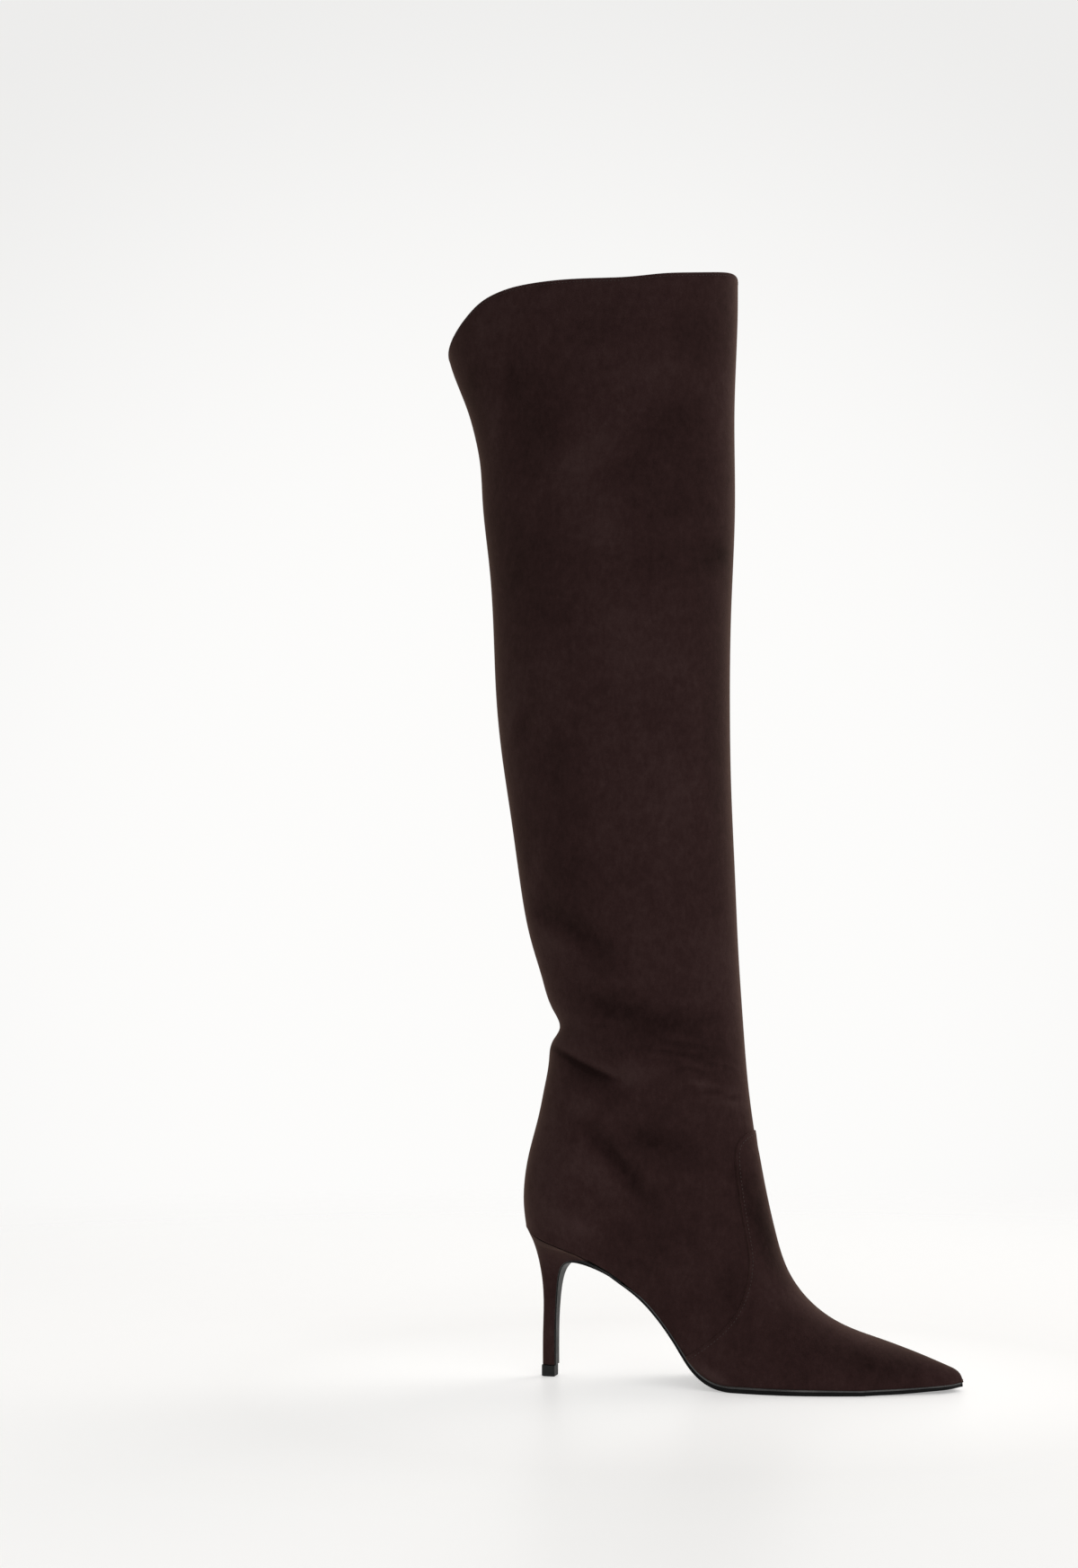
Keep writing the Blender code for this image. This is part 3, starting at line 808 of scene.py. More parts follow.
    def ripple(self, x: Array, z: Array, side: Side) -> Array:
        """The slow unevenness of a soft shaft that has been worn, in millimetres.

        Args:
            x: The points' x.
            z: The points' height.
            side: Which wall.

        Returns:
            How far each point stands out.
        """
        shift = 0.0 if side is Side.LATERAL else self.side_shift
        total = np.zeros(np.shape(x))
        for strength, waves in zip(self.ripples, self.waves):
            first, second = (np.sin(z / up + x / along + by * shift) for up, along, by in waves)
            total += strength * (first * second)
        start, over = self.rippled
        return smooth_step((z - start) / over) * total

    def half_width(self, x: Array, z: Array, side: Side, plain: bool = False) -> Array:
        """How far one wall stands from the boot's middle line.

        Args:
            x: The points' x.
            z: The points' height.
            side: Which wall.
            plain: Whether to leave out the folds, creases and ripple.

        Returns:
            The half width at each point.
        """
        at = self.station(x, z)
        wide = self.section(side.name.lower(), at)
        back = self.rounded(x - self.back.x_at(z), self.section("back", at))
        front_gap = np.abs(self.front.measure(x, z)[1])
        front = self.rounded(front_gap, self.section("front", at))
        toe = self.rounded(TOE_X - x, self.toe_round)
        share = spline(column(TUCKS, "x"), column(TUCKS, "share"), x)
        height = spline(column(TUCKS, "x"), column(TUCKS, "height"), x)
        high = np.clip((z - self.feather.z_at(x)) / height, 0, 1)
        tuck = np.sqrt(1 - (1 - share**2) * (1 - high) ** 2)
        ends = back * front
        full = wide * ends * toe * tuck
        if plain:
            return full
        return full + (self.ripple(x, z, side) - self.pressed(x, z, side)) * ends

    def middle(self, x: Array) -> Array:
        """How far the middle line of the foot swings to the inner side."""
        most, start = self.swing
        return most * np.clip((x - start) / (TOE_X - start), 0, 1) ** 2

    def feather_half(self, x: Array, side: Side) -> Array:
        """The half width of the feather edge at x."""
        return self.half_width(x, self.feather.z_at(x), side, plain=True)

    def skin(self, x: Array, z: Array, side: Side) -> Array:
        """Points of the upper's outer surface over points of the side view."""
        half = self.half_width(x, z, side)
        return np.stack([x, self.middle(x) + side.value * half, z], axis=-1)

    def nap(self, x: Array, z: Array, side: Side) -> Array:
        """How light or dark the suede is painted, from -1 to 1, over one side: the nap's lie, with
        painted shade and highlights.

        Args:
            x: The points' x.
            z: The points' height.
            side: Which wall.

        Returns:
            The lie at each point.
        """
        total = np.zeros(np.shape(x))
        for patch in NAP_AND_PAINTED_LIGHT_PATCHES[side]:
            turn = math.radians(patch.turn)
            along = (x - patch.x) * math.cos(turn) + (z - patch.z) * math.sin(turn)
            over = (z - patch.z) * math.cos(turn) - (x - patch.x) * math.sin(turn)
            total += patch.value * np.exp(-((along / patch.long) ** 2) - (over / patch.wide) ** 2)
        # Fine creases are painted darker in their troughs, as painted shade, and lighter on their
        # rolls.
        strength, least, most = self.crease_shade
        return total - np.clip(strength * self.creased(x, z, side, self.fine), least, most)


# ---------------------------------------------------------------------------------------------
# Meshes
# ---------------------------------------------------------------------------------------------


def shares(count: int, ends: float = 0.97) -> Array:
    """Shares from 0 to 1 in steps that close up towards both ends."""
    even = np.linspace(0, 1, count + 1)
    return even - ends * np.sin(2 * np.pi * even) / (2 * np.pi)


def normals_of(places: Array, ring: bool) -> Array:
    """Unit normals of a grid of places.

    Args:
        places: Rows of points.
        ring: Whether each row closes on itself.

    Returns:
        One normal for each point, to the left of its row as seen from the next row.
    """
    if ring:
        across = np.roll(places, -1, axis=1) - np.roll(places, 1, axis=1)
    else:
        across = np.gradient(places, axis=1)
    down = np.gradient(places, axis=0)
    normal = np.cross(across, down)
    length = np.linalg.norm(normal, axis=2)[:, :, None]
    return normal / np.maximum(length, 1e-9)


def grid_mesh(
    places: Array,
    nap: Array | None = None,
    slot_of_row: Callable[[float], int] | None = None,
) -> bmesh.types.BMesh:
    """A sheet of quads, each of whose points is moved to its computed place.

    Args:
        places: Rows of points in metres. A row that closes on itself repeats its first point.
        nap: The nap's lie at each point, with painted shade and highlights.
        slot_of_row: Gives a face's material slot from its place among the rows, 0 to 1.

    Returns:
        The mesh, with points that fall together made one.
    """
    rows, columns = places.shape[:2]
    bm = bmesh.new()
    bm.loops.layers.uv.new("UVMap")
    layer = bm.verts.layers.float.new("nap")
    bmesh.ops.create_grid(
        bm, x_segments=columns - 1, y_segments=rows - 1, size=0.5, calc_uvs=True
    )
    if slot_of_row:
        for face in bm.faces:
            face.material_index = slot_of_row(face.calc_center_median().y + 0.5)
    for vert in bm.verts:
        i = round((vert.co.y + 0.5) * (rows - 1))
        j = round((vert.co.x + 0.5) * (columns - 1))
        vert.co = places[i, j]
        if nap is not None:
            vert[layer] = nap[i, j]
    bmesh.ops.remove_doubles(bm, verts=bm.verts, dist=1e-6)
    return bm


def piece_from(name: str, bm: bmesh.types.BMesh, smooth: bool = True) -> Piece:
    """An object made from a mesh that faces outwards.

    Args:
        name: The piece's name.
        bm: Its mesh, which is used up.
        smooth: Whether its faces are shaded smooth.

    Returns:
        The new object, at the origin.
    """
    bmesh.ops.recalc_face_normals(bm, faces=bm.faces)
    if bm.calc_volume(signed=True) < 0:
        bmesh.ops.reverse_faces(bm, faces=bm.faces)
    mesh = bpy.data.meshes.new(name)
    bm.to_mesh(mesh)
    bm.free()
    if smooth:
        mesh.shade_smooth()
    made = bpy.data.objects.new(name, mesh)
    bpy.context.scene.collection.objects.link(made)
    return made


def close_ends(bm: bmesh.types.BMesh) -> None:
    """Fills the open ends of a tube."""
    ends = [edge for edge in bm.edges if edge.is_boundary]
    bmesh.ops.holes_fill(bm, edges=ends, sides=0)


# ---------------------------------------------------------------------------------------------
# Finishes
# ---------------------------------------------------------------------------------------------


def mapped(tree: bpy.types.NodeTree, value: Socket, span: Span, interpolation: str) -> Socket:
    """A value taken from one range to another.

    Args:
        tree: The nodes that it is worked out in.
        value: The value.
        span: Its least and most, and what each becomes.
        interpolation: How it goes from one to the other.

    Returns:
        The new value.
    """
    made = tree.nodes.new("ShaderNodeMapRange")
    made.interpolation_type = interpolation
    for name, number in zip(("From Min", "From Max", "To Min", "To Max"), span):
        made.inputs[name].default_value = number
    tree.links.new(value, made.inputs["Value"])
    return made.outputs["Result"]


def blend(
    tree: bpy.types.NodeTree, share: Socket, first: Socket, second: Socket, out: Socket
) -> None:
    """Sends a mix of two shaders to an output.

    Args:
        tree: The nodes that they stand in.
        share: How much of the second one is taken.
        first: The first shader.
        second: The second shader.
        out: The output.
    """
    mix = tree.nodes.new("ShaderNodeMixShader")
    for source, into in zip((share, first, second), mix.inputs):
        tree.links.new(source, into)
    tree.links.new(mix.outputs[0], out)


class Graph:
    """A short way to lay out the nodes of one material."""

    def __init__(self, name: str) -> None:
        """Starts a material that has only its shader.

        Args:
            name: The material's name.
        """
        self.material = bpy.data.materials.new(name)
        self.material.use_nodes = True
        self.tree = self.material.node_tree
        self.shader = self.tree.nodes["Principled BSDF"]
        self.place = self.node("ShaderNodeTexCoord").outputs["Object"]

    def node(self, kind: str, **settings: object) -> bpy.types.Node:
        """A new node with some of its properties set."""
        made = self.tree.nodes.new(kind)
        for name, value in settings.items():
            setattr(made, name, value)
        return made

    def link(self, out: Socket, into: Socket) -> None:
        """Joins two sockets."""
        self.tree.links.new(out, into)

    def set(self, **values: object) -> None:
        """Gives the shader's inputs, named with underscores for spaces, a value or a socket's."""
        for name, value in values.items():
            into = self.shader.inputs[name.replace("_", " ")]
            if isinstance(value, Socket):
                self.link(value, into)
            else:
                into.default_value = value

    def stretched(self, scale: Triple, turn: float = 0.0) -> Socket:
        """The object's coordinates, stretched along its axes and turned about y.

        Args:
            scale: The scale along each axis.
            turn: The turn, in radians.

        Returns:
            The new coordinates.
        """
        mapping = self.node("ShaderNodeMapping")
        mapping.inputs["Scale"].default_value = scale
        mapping.inputs["Rotation"].default_value = (0, turn, 0)
        self.link(self.place, mapping.inputs["Vector"])
        return mapping.outputs["Vector"]

    def noise(
        self, scale: float, detail: float, rough: float = 0.5, vector: Socket | None = None
    ) -> Socket:
        """A noise pattern's value, from 0 to 1.

        Args:
            scale: How fine it is.
            detail: How many finer patterns are laid into it.
            rough: How strong those are.
            vector: Where it is read, if not at the object's coordinates.

        Returns:
            The value.
        """
        made = self.node("ShaderNodeTexNoise")
        made.inputs["Scale"].default_value = scale
        made.inputs["Detail"].default_value = detail
        made.inputs["Roughness"].default_value = rough
        self.link(vector or self.place, made.inputs["Vector"])
        return made.outputs["Fac"]

    def remap(self, value: Socket, *span: float) -> Socket:
        """A value taken from one range to another."""
        return mapped(self.tree, value, span, "LINEAR")

    def math(self, kind: str, first: Socket, second: Socket) -> Socket:
        """One step of arithmetic."""
        made = self.node("ShaderNodeMath", operation=kind)
        self.link(first, made.inputs[0])
        self.link(second, made.inputs[1])
        return made.outputs[0]

    def ramp(self, value: Socket, stops: Sequence[tuple[float, Colour]]) -> Socket:
        """A colour picked from a row of stops.

        Args:
            value: The place on the row.
            stops: The places of the stops, each with its colour.

        Returns:
            The colour.
        """
        made = self.node("ShaderNodeValToRGB")
        bar = made.color_ramp
        bar.elements[0].position, bar.elements[0].color = stops[0][0], (*stops[0][1], 1)
        bar.elements[1].position, bar.elements[1].color = stops[-1][0], (*stops[-1][1], 1)
        for place, colour in stops[1:-1]:
            bar.elements.new(place).color = (*colour, 1)
        self.link(value, made.inputs["Fac"])
        return made.outputs["Color"]

    def bump(
        self, height: Socket, strength: float, distance: float, under: Socket | None = None
    ) -> Socket:
        """A bump laid over the normal, or over another bump.

        Args:
            height: The pattern.
            strength: How strongly it is felt.
            distance: How deep it is, in metres.
            under: The bump below it.

        Returns:
            The new normal.
        """
        made = self.node("ShaderNodeBump")
        made.inputs["Strength"].default_value = strength
        made.inputs["Distance"].default_value = distance
        self.link(height, made.inputs["Height"])
        if under:
            self.link(under, made.inputs["Normal"])
        return made.outputs["Normal"]


# A noise's value seldom lies outside these.
NOISE = (0.3, 0.7)


@dataclass(frozen=True)
class Layer:
    """One layer of the nap's unevenness.

    Attributes:
        scale: How fine its pattern is.
        detail: How many finer patterns are laid into it.
        rough: How strong those are.
        adds: How much darker or lighter it makes the nap at most.
        tall: Its scale along z against the others: less than 1 draws it out upwards.
        turn: How far it is turned about y.
    """

    scale: float
    detail: float
    rough: float
    adds: float
    tall: float = 1.0
    turn: float = 0.0

    def laid(self, graph: Graph) -> Socket:
        """The layer's pattern in the nodes of a material."""
        drawn_out = self.tall != 1.0
        vector = graph.stretched((1.0, 1.0, self.tall), self.turn) if drawn_out else None
        return graph.noise(self.scale, self.detail, self.rough, vector)


@dataclass(frozen=True)
class Suede:
    """Brushed suede: a matt nap with clouds where it lies one way or the other; its nap attribute
    also carries painted shade and highlights.

    Attributes:
        deep: Its colour where the nap lies darkest and the painted shade is deepest.
        ground: Its colour between.
        light: Its colour where the nap lies lightest and the painted highlights are strongest.
        sheen: The colour of its sheen.
        sheen_weight: How strong the sheen is.
        sheen_rough: How rough it is.
        cloud: The layer that also lets the nap's lie show more or less.
        drift: Slanting drifts.
        mottle: Small clouds.
        brushed: Fine slanting marks of the brush.
        fibre: The nap's own fibres.
        felt: How strongly the small clouds are felt in the surface, and how deep in metres.
        felt_fibre: The same for the fibres.
        least: How much of the lie shows where the clouds let least of it through.
        reach: How much darker or lighter than the ground the sum can get.
    """

    deep: Colour = (0.0118, 0.0052, 0.0049)
    ground: Colour = (0.0282, 0.0134, 0.0130)
    light: Colour = (0.0470, 0.0262, 0.0250)
    sheen: Colour = (1.0, 0.62, 0.45)
    sheen_weight: float = 0.14
    sheen_rough: float = 0.40
    cloud: Layer = Layer(16, 4.0, 0.55, 0.22)
    drift: Layer = Layer(30, 3.0, 0.6, 0.16, 0.45, 0.3)
    mottle: Layer = Layer(150, 4.0, 0.65, 0.24)
    brushed: Layer = Layer(420, 3.0, 0.6, 0.20, 0.55, -0.4)
    fibre: Layer = Layer(1500, 3.0, 0.7, 0.22)
    felt: Pair = (0.25, 0.0006)
    felt_fibre: Pair = (0.35, 0.0003)
    least: float = 0.62
    reach: float = 1.1

    def dress(self, name: str) -> bpy.types.Material:
        """Makes the material.

        Args:
            name: Its name.

        Returns:
            The new material.
        """
        graph = Graph(name)
        layers = (self.cloud, self.drift, self.mottle, self.brushed, self.fibre)
        cloud, drift, mottle, brushed, fibre = noises = [layer.laid(graph) for layer in layers]
        # The nap attribute: the nap's lie, with painted shade and highlights laid into it.
        lie = graph.node("ShaderNodeAttribute", attribute_name="nap").outputs["Fac"]
        total = graph.math("MULTIPLY", lie, graph.remap(cloud, *NOISE, self.least, 1.0))
        for layer, noise in zip(layers, noises):
            part = graph.remap(noise, *NOISE, -layer.adds, layer.adds)
            total = graph.math("ADD", total, part)
        tone = graph.remap(total, -self.reach, self.reach, 0, 1)
        soft = graph.bump(mottle, *self.felt)
        graph.set(
            Base_Color=graph.ramp(tone, ((0, self.deep), (0.5, self.ground), (1, self.light))),
            Roughness=0.95,
            Specular_IOR_Level=0.06,
            Sheen_Weight=self.sheen_weight,
            Sheen_Roughness=self.sheen_rough,
            Sheen_Tint=(*self.sheen, 1),
            Normal=graph.bump(fibre, *self.felt_fibre, soft),
        )
        return graph.material


@dataclass(frozen=True)
class Leather:
    """Smooth leather or rubber with a fine grain.

    Attributes:
        colour: Its colour.
        light: The colour of its lighter clouds.
        rough: How rough it is.
        grain: How fine its grain is.
        bump: How strongly that is felt.
        specular: How strongly it shines.
        depth: How deep the grain is, in metres.
        clouds: How fine its clouds are.
        wear: How fine the pattern is in which it is smoother or rougher.
        wears: How much smoother and rougher it gets there.
    """

    colour: Colour
    light: Colour
    rough: float = 0.45
    grain: float = 900.0
    bump: float = 0.2
    specular: float = 0.5
    depth: float = 0.0002
    clouds: float = 40.0
    wear: float = 220.0
    wears: Pair = (-0.05, 0.08)

    def dress(self, name: str) -> bpy.types.Material:
        """Makes the material.

        Args:
            name: Its name.

        Returns:
            The new material.
        """
        graph = Graph(name)
        grain = graph.node("ShaderNodeTexVoronoi", feature="F1")
        grain.inputs["Scale"].default_value = self.grain
        graph.link(graph.place, grain.inputs["Vector"])
        cloud = graph.noise(self.clouds, 4.0, 0.6)
        worn = graph.noise(self.wear, 3.0)
        rough = [self.rough + more for more in self.wears]
        graph.set(
            Base_Color=graph.ramp(cloud, tuple(zip(NOISE, (self.colour, self.light)))),
            Roughness=graph.remap(worn, *NOISE, *rough),
            Specular_IOR_Level=self.specular,
            Normal=graph.bump(grain.outputs["Distance"], self.bump, self.depth),
        )
        return graph.material


@dataclass(frozen=True)
class Thread:
    """Twisted sewing thread.

    Attributes:
        colour: Its colour.
        shade: How light the painted shade between its strands is, as a share of that.
        strands: How fine they are.
        felt: How strongly they are felt, and how deep in metres.
    """

    colour: Colour = (0.044, 0.028, 0.025)
    shade: float = 0.7
    strands: float = 2600.0
    felt: Pair = (0.4, 0.0001)

    def dress(self, name: str) -> bpy.types.Material:
        """Makes the material.

        Args:
            name: Its name.

        Returns:
            The new material.
        """
        graph = Graph(name)
        twist = graph.noise(self.strands, 2.0)
        # Painted shade: the thread is darker where the twist's bump lies low, between its strands.
        dark = tuple(self.shade * part for part in self.colour)
        graph.set(
            Base_Color=graph.ramp(twist, tuple(zip(NOISE, (dark, self.colour)))),
            Roughness=0.75,
            Sheen_Weight=0.1,
            Specular_IOR_Level=0.25,
            Normal=graph.bump(twist, *self.felt),
        )
        return graph.material


SUEDE = Suede()
LINING = Leather((0.030, 0.019, 0.015), (0.042, 0.027, 0.022), 0.5, 700.0, 0.25)
SOCK = Leather((0.034, 0.021, 0.017), (0.046, 0.030, 0.024), 0.45, 800.0, 0.2)
# The sole is black leather with a polished edge; along its upper rim a lighter grey is laid on as a
# painted highlight.
SOLE_EDGE = Leather((0.003, 0.003, 0.003), (0.005, 0.005, 0.005), 0.15, 500.0, 0.05, 0.08)
# A painted highlight: lighter grey where the polished rim would catch the light.
SOLE_PAINTED_HIGHLIGHT = Leather((0.008, 0.008, 0.008), (0.065, 0.064, 0.062), 0.25, 70.0, 0.0, 0.4)
TREAD = Leather((0.008, 0.007, 0.007), (0.013, 0.012, 0.012), 0.45, 600.0, 0.08, 0.1)
TIP = Leather((0.009, 0.009, 0.009), (0.014, 0.014, 0.014), 0.6, 1200.0, 0.15, 0.2)
THREAD = Thread()


def put_on(piece: Piece, slot: str, *nodes: str, **finishes: Suede | Leather | Thread) -> Piece:
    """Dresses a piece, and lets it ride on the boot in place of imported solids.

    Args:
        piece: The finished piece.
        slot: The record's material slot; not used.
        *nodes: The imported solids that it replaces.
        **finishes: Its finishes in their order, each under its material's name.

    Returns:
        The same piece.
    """
    for name, finish in finishes.items():
        piece.data.materials.append(finish.dress(name))
    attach(piece, "root")
    for node in nodes:
        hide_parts(node)
    return piece


# ---------------------------------------------------------------------------------------------
# The upper
# ---------------------------------------------------------------------------------------------


@dataclass
class Upper:
    """The suede upper from collar to feather edge, with its lining inside.

    Attributes:
        form: The boot's shape.
        columns: How many columns stand on each side.
        bend: Height below which the collar's edge line fades out.
        bend_rows: How many rows lie above it.
        start: How large the first step between them is, against an even one.
        shaft_rows: Heights below it, each with the row spacing that holds down to it.
        ankle_step: The row spacing from there down to the foot's rows.
        foot_rows: How many rows the foot has.
        closing: How far its rows close up towards the feather edge.
        hold: How quickly the pull of the back and front lines fades along them.
        edge_rows: How many rows round the collar's edge over.
        facing: How far the suede turns down inside the collar.
        thinner: How much nearer to the suede the lining lies below that.
        lining_rows: The lining's row spacings near the collar, in the foot and in the shaft.
        lining_marks: How far down the first of these holds, and below which height the second.
    """

    form: BootForm
    columns: int = 104
    bend: float = 575.0
    bend_rows: int = 22
    start: float = 0.35
    shaft_rows: tuple[Pair, ...] = ((330.0, 3.6), (230.0, 2.2))
    ankle_step: float = 1.15
    foot_rows: int = 92
    closing: float = 0.4
    hold: float = 2.0
    edge_rows: int = 8
    facing: float = 9.0
    thinner: float = 0.3
    lining_rows: Triple = (1.2, 3.3, 11.0)
    lining_marks: Pair = (14.0, 290.0)

    def rim_height(self, share: Array) -> Array:
        """The height of the collar's top, less the round of its edge."""
        places, heights = np.array(RIM).T
        return spline(places, heights, share) - self.form.wall / 2

    def paths(self) -> list[Array]:
        """Side-view paths of the rows, from the collar down to the feather edge.

        Returns:
            One path for each row, from the back line to the front line.
        """
        share = shares(self.columns)
        rim = self.rim_height(share)
        even = np.arange(self.bend_rows) / self.bend_rows
        lifts = 1 - even * (self.start + (1 - self.start) * even)
        paths = [self.level(self.bend + (rim - self.bend) * lift) for lift in lifts]
        high = self.bend
        for low, step in (*self.shaft_rows, (self.form.spine[1], self.ankle_step)):
            for height in np.linspace(high, low, round((high - low) / step), endpoint=False):
                paths.append(self.level(np.full(len(share), height)))
            high = low
        return paths + self.foot_paths(share)

    def level(self, height: Array) -> Array:
        """A path across the shaft, at the given heights, from the back line to the front line."""
        start = self.form.back.x_at(height)
        end = self.form.front.x_at(height)
        return np.column_stack([start + (end - start) * shares(len(height) - 1), height])

    def foot_paths(self, share: Array) -> list[Array]:
        """Side-view paths of the foot's rows, from the ankle down to the feather edge.

        Args:
            share: Shares of the way along a path.

        Returns:
            One path for each row.
        """
        low = self.form.spine[1]
        first = self.level(np.full(len(share), low))
        last = self.form.feather.along(share)
        back = self.form.back.below(low)
        front = self.form.front.below(low)
        rows = np.linspace(0, 1, self.foot_rows + 1)
        rows = rows + self.closing * rows * (1 - rows)
        return filled(first, last, back, front, share, rows, self.hold)

    def outer(self) -> tuple[Array, Array]:
        """The outer surface as rows of places, and the nap's lie on it, with its painted shade and
        highlights.

        Returns:
            The places of each row, once round the boot, and the lie at each of them.
        """
        paths = np.array(self.paths())
        lateral, medial, lie, other = both_sides(self.form, paths)
        for ends in (lateral, medial):
            ends[:, [0, -1], 1] = self.form.middle(paths[:, [0, -1], 0])
        inner = slice(-2, 0, -1)
        rows = np.concatenate([lateral, medial[:, inner]], axis=1)
        return rows, np.concatenate([lie, other[:, inner]], axis=1)

    def edge(self, outer: Array, normal: Array) -> Array:
        """Rows that round the collar's edge over, from the suede's top row to the inside.

        Args:
            outer: The outer face's rows.
            normal: Its normals.

        Returns:
            The rows.
        """
        rise = outer[0] - outer[1]
        rise /= np.linalg.norm(rise, axis=1)[:, None]
        angle = np.linspace(0, np.pi, self.edge_rows + 1)[1:, None, None]
        turned = normal[0] * (np.cos(angle) - 1) + rise * np.sin(angle)
        return outer[0] + turned * self.form.wall / 2

    def inside(self, outer: Array, normal: Array) -> tuple[Array, int]:
        """Rows of the inner face, from the collar down.

        Args:
            outer: The outer face's rows.
            normal: Its normals.

        Returns:
            The rows, and how many of them are suede.
        """
        near, foot, shaft = self.lining_rows
        deep, low = self.lining_marks
        depth = travelled(outer[:, 0])
        kept = [0]
        for k in range(1, len(outer)):
            spaced = near if depth[k] < deep else foot if outer[k, 0, 2] < low else shaft
            if depth[k] - depth[kept[-1]] >= spaced or k == len(outer) - 1:
                kept.append(k)
        kept = kept[1:]
        turned_in = depth[kept] <= self.facing
        thick = np.where(turned_in, self.form.wall, self.form.wall - self.thinner)
        return outer[kept] - normal[kept] * thick[:, None, None], int(turned_in.sum())

    def build(self) -> Piece:
        """Builds the upper as one closed wall: suede outside and over the edge, lining inside.

        Returns:
            The upper.
        """
        outer, nap = self.outer()
        normal = normals_of(outer, ring=True)
        low = len(normal) // 3
        if (normal[low, :, 1] * outer[low, :, 1]).sum() < 0:
            normal = -normal
        inside, facing = self.inside(outer, normal)
        rows = np.concatenate([outer[::-1], self.edge(outer, normal), inside, outer[-1:]])
        lies = np.zeros(rows.shape[:2])
        suede = len(outer) + self.edge_rows
        lies[:suede] = np.concatenate([nap[::-1], np.repeat(nap[:1], self.edge_rows, axis=0)])
        lies[-1] = nap[-1]
        places = np.concatenate([rows, rows[:, :1]], axis=1)
        lies = np.concatenate([lies, lies[:, :1]], axis=1)
        share = (suede + facing) / (len(rows) - 1)
        bm = grid_mesh(self.form.world(places), lies, lambda place: int(place >= share))
        made = piece_from("suede_upper", bm)
        return put_on(made, "upper", "upper", upper_suede=SUEDE, lining_leather=LINING)


# The share of a path over which the nap of one side parts from the other's.
PARTS_OVER = 0.12


def both_sides(form: BootForm, paths: Array) -> tuple[Array, Array, Array, Array]:
    """The boot's skin over paths of the side view, on both sides, and the nap's lie on it, with its
    painted shade and highlights.

    Args:
        form: The boot's shape.
        paths: Paths from the back or front line to another line.

    Returns:
        Places on the outer side and on the inner side, then the lie on each, which agree where
        the paths end.
    """
    x = paths[..., 0]
    z = paths[..., 1]
    places = [form.skin(x, z, side) for side in Side]
    naps = [form.nap(x, z, side) for side in Side]
    shared = sum(naps) / 2
    reach = np.maximum(np.abs(x[:, -1:] - x[:, :1]), 1)
    near_end = np.minimum(np.abs(x - x[:, :1]), np.abs(x[:, -1:] - x)) / reach
    near = form.rounded(near_end, PARTS_OVER)
    lateral, medial = (shared + (nap - shared) * near for nap in naps)
    return places[0], places[1], lateral, medial


def filled(
    first: Array,
    last: Array,
    back: Track,
    front: Track,
    share: Array,
    rows: Array,
    hold: float = 1.0,
) -> list[Array]:
    """Paths that fill the space between four lines of the side view.

    Args:
        first: The path at the start.
        last: The path at the end.
        back: The line that joins the paths' first points.
        front: The line that joins the paths' last points.
        share: Shares of the way along the paths.
        rows: Shares of the way from the first path to the last.
        hold: How quickly the pull of the back and front lines fades along a path.

    Returns:
        One path for each row.
    """
    near_back = ((1 - share) ** hold)[:, None]
    near_front = (share**hold)[:, None]
    paths = []
    for row in rows:
        line = (1 - row) * first + row * last
        start = back.along([row])[0] - line[0]
        end = front.along([row])[0] - line[-1]
        paths.append(line + near_back * start + near_front * end)
    return paths


